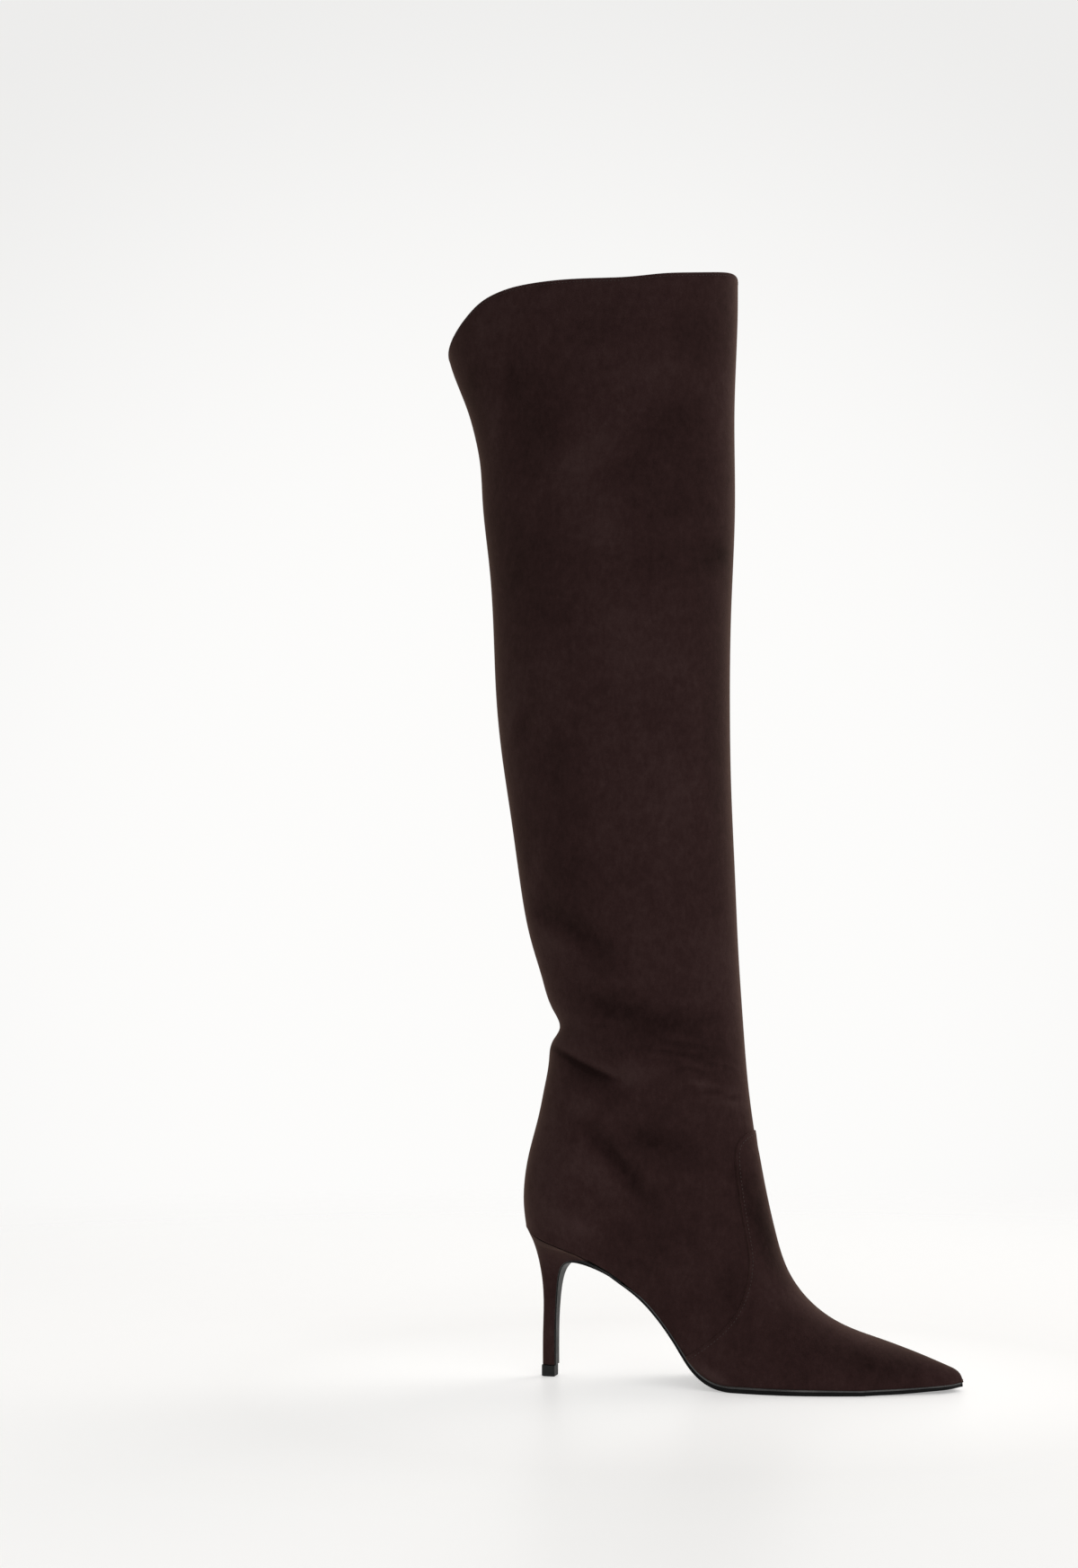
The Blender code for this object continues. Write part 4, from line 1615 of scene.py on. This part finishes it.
@dataclass
class Vamp:
    """The vamp, lapped over the upper along a seam from the sole over the shin.

    Attributes:
        form: The boot's shape.
        lap: How far its face stands over the upper.
        wall: How thick it is drawn.
        columns: How many columns lie on each side.
        rows: How many rows run from the seam to the toe.
        gathers: How far the columns close up in the middle rather than at their ends.
        opens: How much wider apart the rows get towards the toe, and the columns towards the
            feather edge, as powers.
        brow: The first rows' places, as shares of the way, where its cut edge is rounded over.
        rise: How much of the lap is reached at each of them.
        groove: How deep the stitches pull it in, at which row, and over how many.
    """

    form: BootForm
    lap: float = 0.85
    wall: float = 0.6
    columns: int = 64
    rows: int = 110
    gathers: float = -0.3
    opens: Pair = (1.35, 1.7)
    brow: tuple[float, ...] = (0.0, 0.0, 0.0, 0.0007, 0.0018, 0.0033, 0.0052)
    rise: tuple[float, ...] = (-0.25, 0.25, 0.5, 0.75, 0.93, 1.0, 1.0)
    groove: Triple = (0.18, 9.5, 1.6)

    def __post_init__(self) -> None:
        """Draws the seam and the lines that bound the vamp."""
        self.seam = Track(SEAM)
        self.ridge = self.form.front.after(self.form.front.share_at(SEAM[0]))
        self.edge = self.form.feather.after(self.form.feather.share_at(SEAM[-1]))

    def paths(self, rows: Array) -> Array:
        """Side-view paths from the front line down to the feather edge, from seam to toe.

        Args:
            rows: Shares of the way from the seam to the toe.

        Returns:
            One path for each row.
        """
        even = np.linspace(0, 1, self.columns + 1)
        across = shares(self.columns, self.gathers)
        across = across ** self.opens[1] * (1 - even) + across * even
        first = self.seam.along(across)
        last = np.repeat([self.form.feather.points[-1]], len(across), axis=0)
        return np.array(filled(first, last, self.ridge, self.edge, across, rows))

    def build(self) -> Piece:
        """Builds the vamp, with its cut edge rounded over.

        Returns:
            The vamp.
        """
        body = 1 - (1 - np.linspace(0, 1, self.rows)[1:]) ** self.opens[0]
        rows = np.concatenate([self.brow, self.brow[-1] + (1 - self.brow[-1]) * body])
        height = self.lap * np.concatenate([self.rise, np.ones(len(body))])
        paths = self.paths(rows)
        lateral, medial, lie, other = both_sides(self.form, paths)
        for ends in (lateral, medial):
            ends[:, 0, 1] = self.form.middle(paths[:, 0, 0])
        places = np.concatenate([lateral[:, ::-1], medial[:, 1:]], axis=1)
        nap = np.concatenate([lie[:, ::-1], other[:, 1:]], axis=1)
        normal = normals_of(places[2:], ring=False)
        normal = np.concatenate([normal[:1], normal[:1], normal])
        if normal[len(normal) // 2, 0, 1] > 0:
            normal = -normal
        normal[-1] = [1, 0, 0]
        depth, at, over = self.groove
        groove = depth * np.exp(-(((np.arange(len(rows)) - at) / over) ** 2))
        places = places + normal * (height - groove)[:, None, None]
        made = piece_from("suede_vamp", grid_mesh(self.form.world(places), nap))
        wall = made.modifiers.new("Wall", "SOLIDIFY")
        wall.thickness = self.wall * MM
        wall.offset = -1
        return put_on(made, "vamp", "vamp", vamp_suede=SUEDE)


# ---------------------------------------------------------------------------------------------
# Sole, heel and insole
# ---------------------------------------------------------------------------------------------


@dataclass
class Outsole:
    """The thin black sole, from the toe along the waist and down the front of the heel.

    Attributes:
        form: The boot's shape.
        stand_out: How far the sole's edge stands outside the upper at the waist.
        stand_out_vamp: The same round the vamp.
        widens: From where to where along x it goes from the one to the other.
        joins: How far before the heel's end the flap's width passes into the sole's.
        bevel: The round of its edges.
        most_bevel: The most that the round may take, as a share of the thickness.
        steps: How many places along it are drawn.
        facets: How many faces each side of its section has.
        line: How many faces beside its upper face carry the painted highlight.
    """

    form: BootForm
    stand_out: float = 0.4
    stand_out_vamp: float = 1.5
    widens: Pair = (84.0, 98.0)
    joins: float = 9.0
    bevel: float = 0.9
    most_bevel: float = 0.32
    steps: int = 260
    facets: int = 8
    line: int = 3

    def at(self, track: Track, place: Array) -> Array:
        """Points of a line drawn beside the sole's outer line, at places along the sole."""
        return np.column_stack(
            [np.interp(place, self.form.sole.at, track.points[:, k]) for k in (0, 1)]
        )

    def halves(self, place: Array) -> list[Array]:
        """Half widths of the sole at places along it, on both sides.

        Args:
            place: Places along the sole.

        Returns:
            The half widths on the outer side, then on the inner side.
        """
        last = HEEL_RINGS[-1].front
        given = self.form.sole_at <= last + 1
        narrow = spline(self.form.sole_at[given], column(SOLE, "half")[given], place)
        x = np.minimum(self.at(self.form.under, place)[:, 0], TOE_X)
        edge = np.interp(x, self.widens, (self.stand_out, self.stand_out_vamp))
        joined = smooth_step((place - last + self.joins) / self.joins)
        wide = [self.form.feather_half(x, side) + edge for side in Side]
        return [narrow * (1 - joined) + half * joined for half in wide]

    def section(self) -> list[Triple]:
        """The section's corners in a ring: how far across and up each lies, and how drawn in.

        Returns:
            The three for each corner, and for the first one once more.
        """
        across = np.linspace(-1, 1, self.facets + 1)
        turns = np.linspace(0, np.pi, self.facets + 1)[1:-1]
        edge = [((1 - math.cos(turn)) / 2, 1 - math.sqrt(math.sin(turn))) for turn in turns]
        ring = [(share, 0.0, 1.0) for share in across]
        ring += [(1.0, up, drawn) for up, drawn in edge]
        ring += [(share, 1.0, 1.0) for share in across[::-1]]
        ring += [(-1.0, up, drawn) for up, drawn in edge[::-1]]
        return [*ring, ring[0]]

    def slot(self, place: float) -> int:
        """The material slot, edge, tread or painted highlight line, of a face at a share of the
        section.
        """
        face = int(place * 4 * self.facets)
        from_top = abs(face + 0.5 - 2.5 * self.facets) - self.facets / 2
        return 1 if face < self.facets else 2 if 0 < from_top < self.line else 0

    def build(self) -> Piece:
        """Builds the sole with a rounded, polished edge and a matt tread.

        Returns:
            The sole.
        """
        place = self.form.sole.at[-1] * shares(self.steps - 1, 0.6)
        halves = self.halves(place)
        low = self.at(self.form.sole, place)
        thick = np.interp(place, self.form.sole.at, self.form.sole_thick)
        way = (self.at(self.form.under, place) - low) / thick[:, None]
        centre = self.form.middle(low[:, 0])
        round_in = np.minimum(self.most_bevel * thick, self.bevel)
        rows = []
        for across, up, drawn in self.section():
            half = halves[0 if across < 0 else 1] - drawn * round_in
            point = low + way * (thick * up)[:, None]
            side = centre + across * np.maximum(half, 0.05)
            rows.append(np.column_stack([point[:, 0], side, point[:, 1]]))
        bm = grid_mesh(self.form.world(np.array(rows)), None, self.slot)
        close_ends(bm)
        made = piece_from("leather_outsole", bm)
        finishes = {"sole_edge": SOLE_EDGE, "sole_tread": TREAD, "sole_painted_highlight": SOLE_PAINTED_HIGHLIGHT}
        return put_on(made, "outsole", "outsole", **finishes)


@dataclass
class CoveredHeel:
    """The slim heel, covered in the upper's suede.

    Attributes:
        form: The boot's shape.
        sole: The outsole, whose flap lies on its breast.
        tongue: The side-view line where its cover ends, over the dark tongue that lies on the sole.
        levels: How many rings are drawn between its foot and the seat.
        columns: How many columns it has on each side.
        spreads: From which share of its way up its rings spread to the seat's outline.
        under: How far the seat lies below the feather edge.
        crown: How far its top is drawn in, as a share, and how far it rises, so that it closes.
        lies: How the nap lies at its foot, how much darker its top is painted as shade, where that
            begins, and over which height it comes in.
    """

    form: BootForm
    sole: Outsole
    tongue: Span = (20.0, 66.6, 34.0, 67.5)
    levels: int = 90
    columns: int = 40
    spreads: float = 0.75
    under: float = 0.15
    crown: Pair = (0.9, 0.1)
    lies: Span = (0.25, 1.1, 62.0, 16.0)

    def build(self) -> Piece:
        """Builds the heel from rings that lean from upright to the slope of the seat.

        Returns:
            The heel.
        """
        level = np.linspace(0, len(HEEL_RINGS) - 1, self.levels)
        index = np.arange(len(HEEL_RINGS))
        names = ("height", "front", "half")
        sizes = [spline(index, column(HEEL_RINGS, name), level) for name in names]
        line = Track(HEEL_BACK).points
        share = shares(self.columns, 0.9)
        seat_x = HEEL_BACK[-1][0] + share * (self.form.seat_end - HEEL_BACK[-1][0])
        seat = np.column_stack([seat_x, self.form.feather.z_at(seat_x) - self.under])
        bent = seat - (seat[0] + (seat[-1] - seat[0]) * share[:, None])
        last = HEEL_RINGS[-1].front
        rows = []
        for z, end, wide in zip(*sizes):
            row = end / last
            start = np.array([np.interp(z, line[:, 1], line[:, 0]), z])
            stop = self.sole.at(self.form.under, np.array([end]))[0]
            path = start + (stop - start) * share[:, None] + row * bent
            rows.append(self.ring(path, row, wide, end, share, seat_x))
        rows.append(self.ring(seat, 1.0, sizes[-1][-1], last, share, seat_x))
        drawn_in, rises = self.crown
        rows.append(rows[-1] * [1, drawn_in, 1] + [0, 0, rises])
        places = np.array([np.concatenate([row, row[:1]]) for row in rows])
        # Painted shade: the heel's top, which faces up into the light, is painted darker.
        foot, darker, start, over = self.lies
        nap = foot - darker * smooth_step((places[:, :, 2] - start) / over)
        bm = grid_mesh(self.form.world(places), nap)
        near, high, far, low = self.tongue
        for face in bm.faces:
            centre = face.calc_center_median() / MM
            x = centre.x + self.form.centre_x
            hem = high + (low - high) * (x - near) / (far - near)
            face.material_index = int(x > far or (x > near and centre.z < hem))
        close_ends(bm)
        made = piece_from("covered_heel", bm)
        return put_on(made, "heel", "heel", heel_suede=SUEDE, heel_tongue=SOLE_EDGE)

    def ring(
        self, path: Array, row: float, wide: float, end: float, share: Array, seat_x: Array
    ) -> Array:
        """One closed ring of the heel.

        Args:
            path: Its path in the side view, from back to breast.
            row: Its share of the way up, from 0 to 1.
            wide: The stem's half width.
            end: Where it ends along the sole.
            share: Shares of the way along the path.
            seat_x: The x of each of its points on the seat.

        Returns:
            Its places, up the outer side and back down the inner one.
        """
        spread = np.clip((row - self.spreads) / (1 - self.spreads), 0, 1) ** 2
        sides = []
        for breast, side in zip(self.sole.halves(np.array([end])), Side):
            stem = wide + (breast - wide) * share**2
            stem = stem * self.form.rounded(share + 0.002, 1 - 0.5 * row)
            flat = np.maximum(self.form.feather_half(seat_x, side) - self.form.gap, 0.3)
            half = stem * (1 - spread) + flat * spread
            sides.append(np.column_stack([path[:, 0], side.value * half, path[:, 1]]))
        return np.concatenate([sides[0], sides[1][::-1]])


@dataclass
class HeelTip:
    """The hard top piece under the heel, round at the back and square at the breast.

    Attributes:
        form: The boot's shape.
        length: Its size along x.
        width: Its size across.
        height: Its size upwards.
        rear: The round of its rear corners.
        rim: The round of its other edges.
    """

    form: BootForm
    length: float = 8.2
    width: float = 9.0
    height: float = 6.15
    rear: float = 3.2
    rim: float = 0.35

    def build(self) -> Piece:
        """Builds the tip from a cube with its rear and lower edges rounded.

        Returns:
            The tip.
        """
        bm = bmesh.new()
        bmesh.ops.create_cube(bm, size=1)
        bmesh.ops.scale(bm, verts=bm.verts, vec=(self.length, self.width, self.height))
        bmesh.ops.translate(bm, verts=bm.verts, vec=(self.length / 2, 0, self.height / 2))
        rear = [
            edge
            for edge in bm.edges
            if all(vert.co.x < 1 for vert in edge.verts)
            and abs(edge.verts[0].co.z - edge.verts[1].co.z) > 1
        ]
        self.bevel(bm, rear, self.rear, 8)
        rim = [edge for edge in bm.edges if edge.calc_face_angle(0) > math.radians(60)]
        self.bevel(bm, rim, self.rim, 3)
        for vert in bm.verts:
            vert.co = Vector(self.form.world(vert.co))
        made = piece_from("heel_tip_rubber", bm, smooth=False)
        return put_on(made, "heel_tip", "heel_tip", tip_rubber=TIP)

    @staticmethod
    def bevel(bm: bmesh.types.BMesh, edges: list, by: float, segments: int) -> None:
        """Rounds some edges of the tip."""
        bmesh.ops.bevel(
            bm, geom=edges, offset=by, segments=segments, profile=0.5, affect="EDGES", material=-1
        )


@dataclass
class Sock:
    """The insole with its leather sock, lying in the upper.

    Attributes:
        form: The boot's shape.
        ends: Where it starts and ends along x.
        steps: How many places along it are drawn.
        thick: Its thickness.
        above: How far it lies above the feather edge.
        inset: How far its edge lies inside the upper's outer face.
        least: Its least half width.
        side: The corners of its section's outer side: across, up, and how much drawn in.
    """

    form: BootForm
    ends: Pair = (-5.5, 226.0)
    steps: int = 150
    thick: float = 2.0
    above: float = 0.3
    inset: float = 2.2
    least: float = 0.6
    side: tuple[Triple, ...] = ((1, 0.0, 0.4), (1, 0.35, 0.0), (1, 0.8, 0.1), (1, 1.0, 0.5))

    def build(self) -> Piece:
        """Builds the sock as a thin plate that follows the feather edge.

        Returns:
            The sock.
        """
        x = np.linspace(*self.ends, self.steps)
        edge = self.form.feather.z_at(x)
        centre = self.form.middle(x)
        halves = []
        for side in Side:
            top = self.form.half_width(x, edge + self.thick + self.form.wall, side, plain=True)
            half = np.minimum(self.form.feather_half(x, side), top)
            halves.append(np.maximum(half - self.inset, self.least))
        lateral = [(-across, up, drawn) for across, up, drawn in self.side]
        top = [(across, 1.0, 0.0) for across in (-0.5, 0, 0.5)]
        rows = []
        for across, up, drawn in (*lateral, *top, *self.side[::-1], (0, 0.0, 0.0), lateral[0]):
            half = halves[0 if across < 0 else 1] - drawn
            height = edge + self.above + up * self.thick
            rows.append(np.column_stack([x, centre + across * half, height]))
        bm = grid_mesh(self.form.world(np.array(rows)))
        close_ends(bm)
        return put_on(piece_from("insole_sock", bm), "insole", "insole", sock_leather=SOCK)


# ---------------------------------------------------------------------------------------------
# Stitching
# ---------------------------------------------------------------------------------------------


@dataclass
class Stitching:
    """The rows of stitches at the collar and along the vamp's seam.

    Attributes:
        upper: The upper that the collar's row is sewn through.
        vamp: The vamp that the seam's row is sewn through.
        pitch: From one stitch to the next.
        length: How much of each stitch shows.
        radius: Half the thread's width.
        flat: Its thickness, as a share of that.
        lift: How far the stitches' middles lie above the surface.
        below_rim: How far below the collar's top its row lies.
        inside_seam: How far inside the vamp's cut edge its row lies.
        sunk: How far that row is pulled into the vamp.
        seam_end: Where it ends, as a share of the seam.
        apart: How far beside a row the lines lie that tell how the surface is turned there.
    """

    upper: Upper
    vamp: Vamp
    pitch: float = 2.2
    length: float = 1.15
    radius: float = 0.22
    flat: float = 0.9
    lift: float = 0.05
    below_rim: float = 1.2
    inside_seam: float = 1.9
    sunk: float = 0.1
    seam_end: float = 0.985
    apart: float = 0.5

    def sewn(self, name: str, slot: str, points: Array, normals: Array) -> Piece:
        """Builds one row of stitches along a line of points.

        Args:
            name: The row's name.
            slot: The material slot of what it is sewn through.
            points: The line, in millimetres.
            normals: The surface's normal at each point.

        Returns:
            The row as one object.
        """
        at = travelled(points)
        bm = bmesh.new()
        for place in np.arange(self.pitch / 2, at[-1], self.pitch):
            spot = self.read(points, at, place)
            before, after = (self.read(points, at, place + by) for by in (-0.5, 0.5))
            along = Vector(after - before)
            up = Vector(self.read(normals, at, place)).normalized()
            along = (along - up * along.dot(up)).normalized()
            turn = Matrix((along, up.cross(along), up)).transposed().to_4x4()
            where = Vector(self.upper.form.world(spot)) + up * (self.lift * MM)
            stitch = self.stitch(Matrix.Translation(where) @ turn)
            bm.from_mesh(stitch)
            bpy.data.meshes.remove(stitch)
        return put_on(piece_from(name, bm), slot, **{name + "_thread": THREAD})

    def stitch(self, place: Matrix) -> bpy.types.Mesh:
        """One stitch, put in its place.

        Args:
            place: Its place and turn.

        Returns:
            Its mesh.
        """
        bm = bmesh.new()
        bmesh.ops.create_uvsphere(bm, u_segments=7, v_segments=5, radius=1)
        half = (self.radius * self.flat * MM, self.radius * MM, self.length / 2 * MM)
        bmesh.ops.scale(bm, verts=bm.verts, vec=half)
        bmesh.ops.rotate(bm, verts=bm.verts, matrix=Matrix.Rotation(math.pi / 2, 3, "Y"))
        bmesh.ops.transform(bm, verts=bm.verts, matrix=place)
        mesh = bpy.data.meshes.new("stitch")
        bm.to_mesh(mesh)
        bm.free()
        return mesh

    @staticmethod
    def read(values: Array, at: Array, place: float) -> Array:
        """Values given along a line, read at one place."""
        return np.array([np.interp(place, at, values[:, k]) for k in range(3)])

    def over(self, paths: Sequence[Array], both_ends: bool) -> tuple[Array, Array]:
        """The middle one of three rows over both sides of the boot, and its normals.

        Args:
            paths: The rows' side-view paths, each starting on the boot's middle line.
            both_ends: Whether they end on it too.

        Returns:
            The row's points from side to side, and the surface's normal at each.
        """
        rows = []
        for path in paths:
            sides = [self.upper.form.skin(path[:, 0], path[:, 1], side) for side in Side]
            for side in sides:
                side[[0, -1] if both_ends else [0], 1] = 0
            rows.append(np.concatenate([sides[0][::-1], sides[1][1:]]))
        rows = np.array(rows)
        return rows[1], outward(normals_of(rows, ring=False), rows)[1]

    def collar(self) -> Piece:
        """The row just below the collar's edge.

        Returns:
            The row of stitches.
        """
        rim = self.upper.rim_height(shares(200))
        drops = (self.below_rim - self.apart, self.below_rim, self.below_rim + self.apart)
        paths = [self.upper.level(rim - drop)[::-1] for drop in drops]
        return self.sewn("collar_stitches", "upper", *self.over(paths, both_ends=True))

    def seam(self) -> Piece:
        """The row beside the vamp's cut edge, over the shin from one side to the other.

        Returns:
            The row of stitches.
        """
        paths = []
        for by in (-self.apart, 0.0, self.apart):
            line = self.vamp.seam.shifted(self.inside_seam + by)
            paths.append(line.along(np.linspace(0.0, self.seam_end, 240)))
            paths[-1][0, 0] = self.vamp.form.front.x_at(paths[-1][0, 1])
        points, normals = self.over(paths, both_ends=False)
        points = points + normals * (self.vamp.lap - self.sunk)
        return self.sewn("vamp_stitches", "vamp", points, normals)


def outward(normal: Array, places: Array) -> Array:
    """Normals turned to point away from the boot's middle plane or its middle point.

    Args:
        normal: The normals, all facing one way.
        places: Where they stand.

    Returns:
        The normals, all turned or all left.
    """
    middle = places.reshape(-1, 3).mean(axis=0)
    away = places - [middle[0], 0, middle[2]]
    flip = np.sign((normal * away).sum(axis=2))
    flip = np.where(np.median(flip) < 0, -1, 1)
    return normal * flip


# ---------------------------------------------------------------------------------------------
# The studio
# ---------------------------------------------------------------------------------------------


@dataclass(frozen=True)
class Lamp:
    """A rectangular lamp, unseen by the camera.

    Attributes:
        name: Its name.
        place: Where it hangs, in metres.
        size: Its width and height.
        power: Its power in watts.
        colour: Its colour.
    """

    name: str
    place: Triple
    size: Pair
    power: float
    colour: Colour = (1.0, 1.0, 1.0)

    def hang(self, aim: Triple) -> None:
        """Hangs the lamp, turned towards a point.

        Args:
            aim: The point.
        """
        data = bpy.data.lights.new(self.name, "AREA")
        data.shape = "RECTANGLE"
        data.size, data.size_y = self.size
        data.energy = self.power
        data.color = self.colour
        made = bpy.data.objects.new(self.name, data)
        made.location = self.place
        way = Vector(aim) - Vector(self.place)
        made.rotation_euler = way.to_track_quat("-Z", "Y").to_euler()
        made.visible_camera = False
        bpy.context.scene.collection.objects.link(made)


WARM = (1.0, 0.965, 0.93)
LAMPS = (
    Lamp("key", (1.0, -1.7, 1.3), (2.2, 2.0), 15),
    Lamp("right_strip", (0.9, 1.15, 1.1), (1.2, 1.8), 13, WARM),
    Lamp("left_strip", (-1.2, 1.1, 1.1), (0.5, 1.3), 0.5, WARM),
    Lamp("top", (0.0, 0.4, 2.3), (2.6, 2.4), 8),
)


@dataclass
class Studio:
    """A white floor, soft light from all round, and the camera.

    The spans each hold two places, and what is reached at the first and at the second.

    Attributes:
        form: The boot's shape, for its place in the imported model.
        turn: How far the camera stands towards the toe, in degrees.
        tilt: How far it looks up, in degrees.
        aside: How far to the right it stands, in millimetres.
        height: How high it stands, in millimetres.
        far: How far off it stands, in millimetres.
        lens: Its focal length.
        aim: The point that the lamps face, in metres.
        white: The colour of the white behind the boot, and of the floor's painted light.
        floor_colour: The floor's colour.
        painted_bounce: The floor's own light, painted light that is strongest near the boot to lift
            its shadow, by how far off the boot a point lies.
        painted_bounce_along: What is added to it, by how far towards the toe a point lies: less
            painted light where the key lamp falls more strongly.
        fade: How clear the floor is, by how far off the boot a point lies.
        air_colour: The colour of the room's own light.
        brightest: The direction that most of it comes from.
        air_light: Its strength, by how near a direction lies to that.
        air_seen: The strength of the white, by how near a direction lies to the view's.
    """

    form: BootForm
    turn: float = 14.5
    tilt: float = 6.4
    aside: float = -2.0
    height: float = 197.0
    far: float = 1275.0
    lens: float = 50.0
    aim: Triple = (0.0, 0.0, 0.3)
    white: Colour = (1.0, 0.995, 0.985)
    floor_colour: Colour = (0.74, 0.738, 0.732)
    painted_bounce: Span = (0.04, 0.26, 0.45, 0.30)
    painted_bounce_along: Span = (-0.3, 0.35, 0.02, -0.08)
    fade: Span = (0.25, 1.5, 0.0, 1.0)
    air_colour: Colour = (1.0, 0.99, 0.975)
    brightest: Triple = (0.6, 0.8, 0.0)
    air_light: Span = (-0.4, 0.85, 0.38, 0.76)
    air_seen: Span = (0.90, 0.995, 0.85, 0.98)

    def camera(self) -> None:
        """Sets up the camera."""
        turn = math.radians(self.turn)
        right = np.array([math.cos(turn), math.sin(turn)])
        ahead = np.array([-math.sin(turn), math.cos(turn)])
        place = self.aside * right - self.far * ahead
        data = bpy.data.cameras.new("camera")
        data.lens = self.lens
        data.sensor_width = 36.0
        data.sensor_fit = "AUTO"
        data.clip_start = 0.05
        made = bpy.data.objects.new("camera", data)
        made.location = Vector(self.form.world([*place, self.height]))
        made.rotation_euler = (math.radians(90 + self.tilt), 0, turn)
        bpy.context.scene.collection.objects.link(made)
        bpy.context.scene.camera = made

    def floor(self) -> None:
        """Builds the pale floor, which fades into the white behind it, and which gives off painted
        light, strongest near the boot, that lifts the boot's shadow on it.
        """
        bm = bmesh.new()
        bmesh.ops.create_circle(bm, cap_ends=True, radius=4.0, segments=96)
        mesh = bpy.data.meshes.new("studio_floor")
        bm.to_mesh(mesh)
        bm.free()
        made = bpy.data.objects.new("studio_floor", mesh)
        bpy.context.scene.collection.objects.link(made)
        graph = Graph("studio_white")
        length = graph.node("ShaderNodeVectorMath", operation="LENGTH")
        graph.link(graph.place, length.inputs[0])
        off = length.outputs["Value"]
        along = graph.node("ShaderNodeSeparateXYZ")
        graph.link(graph.place, along.inputs[0])
        # Painted light: the floor shines most near the boot, lifting the boot's shadow, and less
        # where the key lamp falls.
        more = graph.remap(along.outputs["X"], *self.painted_bounce_along)
        graph.set(
            Base_Color=(*self.floor_colour, 1),
            Emission_Color=(*self.white, 1),
            Emission_Strength=graph.math("ADD", graph.remap(off, *self.painted_bounce), more),
            Roughness=0.42,
            Specular_IOR_Level=0.3,
        )
        clear = graph.node("ShaderNodeBsdfTransparent").outputs[0]
        out = graph.tree.nodes["Material Output"].inputs["Surface"]
        blend(graph.tree, graph.remap(off, *self.fade), graph.shader.outputs[0], clear, out)
        made.data.materials.append(graph.material)

    def air(self) -> None:
        """The room's own light, brightest behind the boot, and the white that is seen there."""
        world = bpy.data.worlds.new("studio_air")
        world.use_nodes = True
        tree = world.node_tree
        turn = math.radians(self.turn)
        view = (-math.sin(turn), math.cos(turn), 0.05)
        lit = tree.nodes["Background"]
        seen = tree.nodes.new("ShaderNodeBackground")
        for node, colour, aim, span in (
            (lit, self.air_colour, self.brightest, self.air_light),
            (seen, self.white, view, self.air_seen),
        ):
            node.inputs["Color"].default_value = (*colour, 1)
            tree.links.new(self.towards(tree, aim, span), node.inputs["Strength"])
        by_camera = tree.nodes.new("ShaderNodeLightPath").outputs["Is Camera Ray"]
        out = tree.nodes["World Output"].inputs["Surface"]
        blend(tree, by_camera, lit.outputs[0], seen.outputs[0], out)
        bpy.context.scene.world = world

    @staticmethod
    def towards(tree: bpy.types.NodeTree, aim: Triple, span: Span) -> Socket:
        """A strength that changes with how near a direction lies to an aim.

        Args:
            tree: The world's nodes.
            aim: The direction that every other one is held against.
            span: The least and most likeness, and the strength at each.

        Returns:
            The strength.
        """
        dot = tree.nodes.new("ShaderNodeVectorMath")
        dot.operation = "DOT_PRODUCT"
        dot.inputs[1].default_value = aim
        way = tree.nodes.new("ShaderNodeTexCoord").outputs["Generated"]
        tree.links.new(way, dot.inputs[0])
        return mapped(tree, dot.outputs["Value"], span, "SMOOTHSTEP")

    def build(self) -> None:
        """Builds the whole studio."""
        self.camera()
        self.floor()
        for lamp in LAMPS:
            lamp.hang(self.aim)
        self.air()
        bpy.context.scene.view_settings.view_transform = "Standard"


def main() -> None:
    """Builds the boot's pieces in order, then the studio."""
    logging.basicConfig(level=logging.INFO, format="%(name)s: %(message)s")
    form = BootForm()
    upper = Upper(form)
    vamp = Vamp(form)
    sole = Outsole(form)
    heel = CoveredHeel(form, sole)
    stitching = Stitching(upper, vamp)
    for build in (
        upper.build,
        vamp.build,
        sole.build,
        heel.build,
        HeelTip(form).build,
        Sock(form).build,
        stitching.collar,
        stitching.seam,
    ):
        piece = build()
        LOG.info("%s: %d faces", piece.name, len(piece.data.polygons))
    Studio(form).build()


if __name__ == "__main__":
    main()
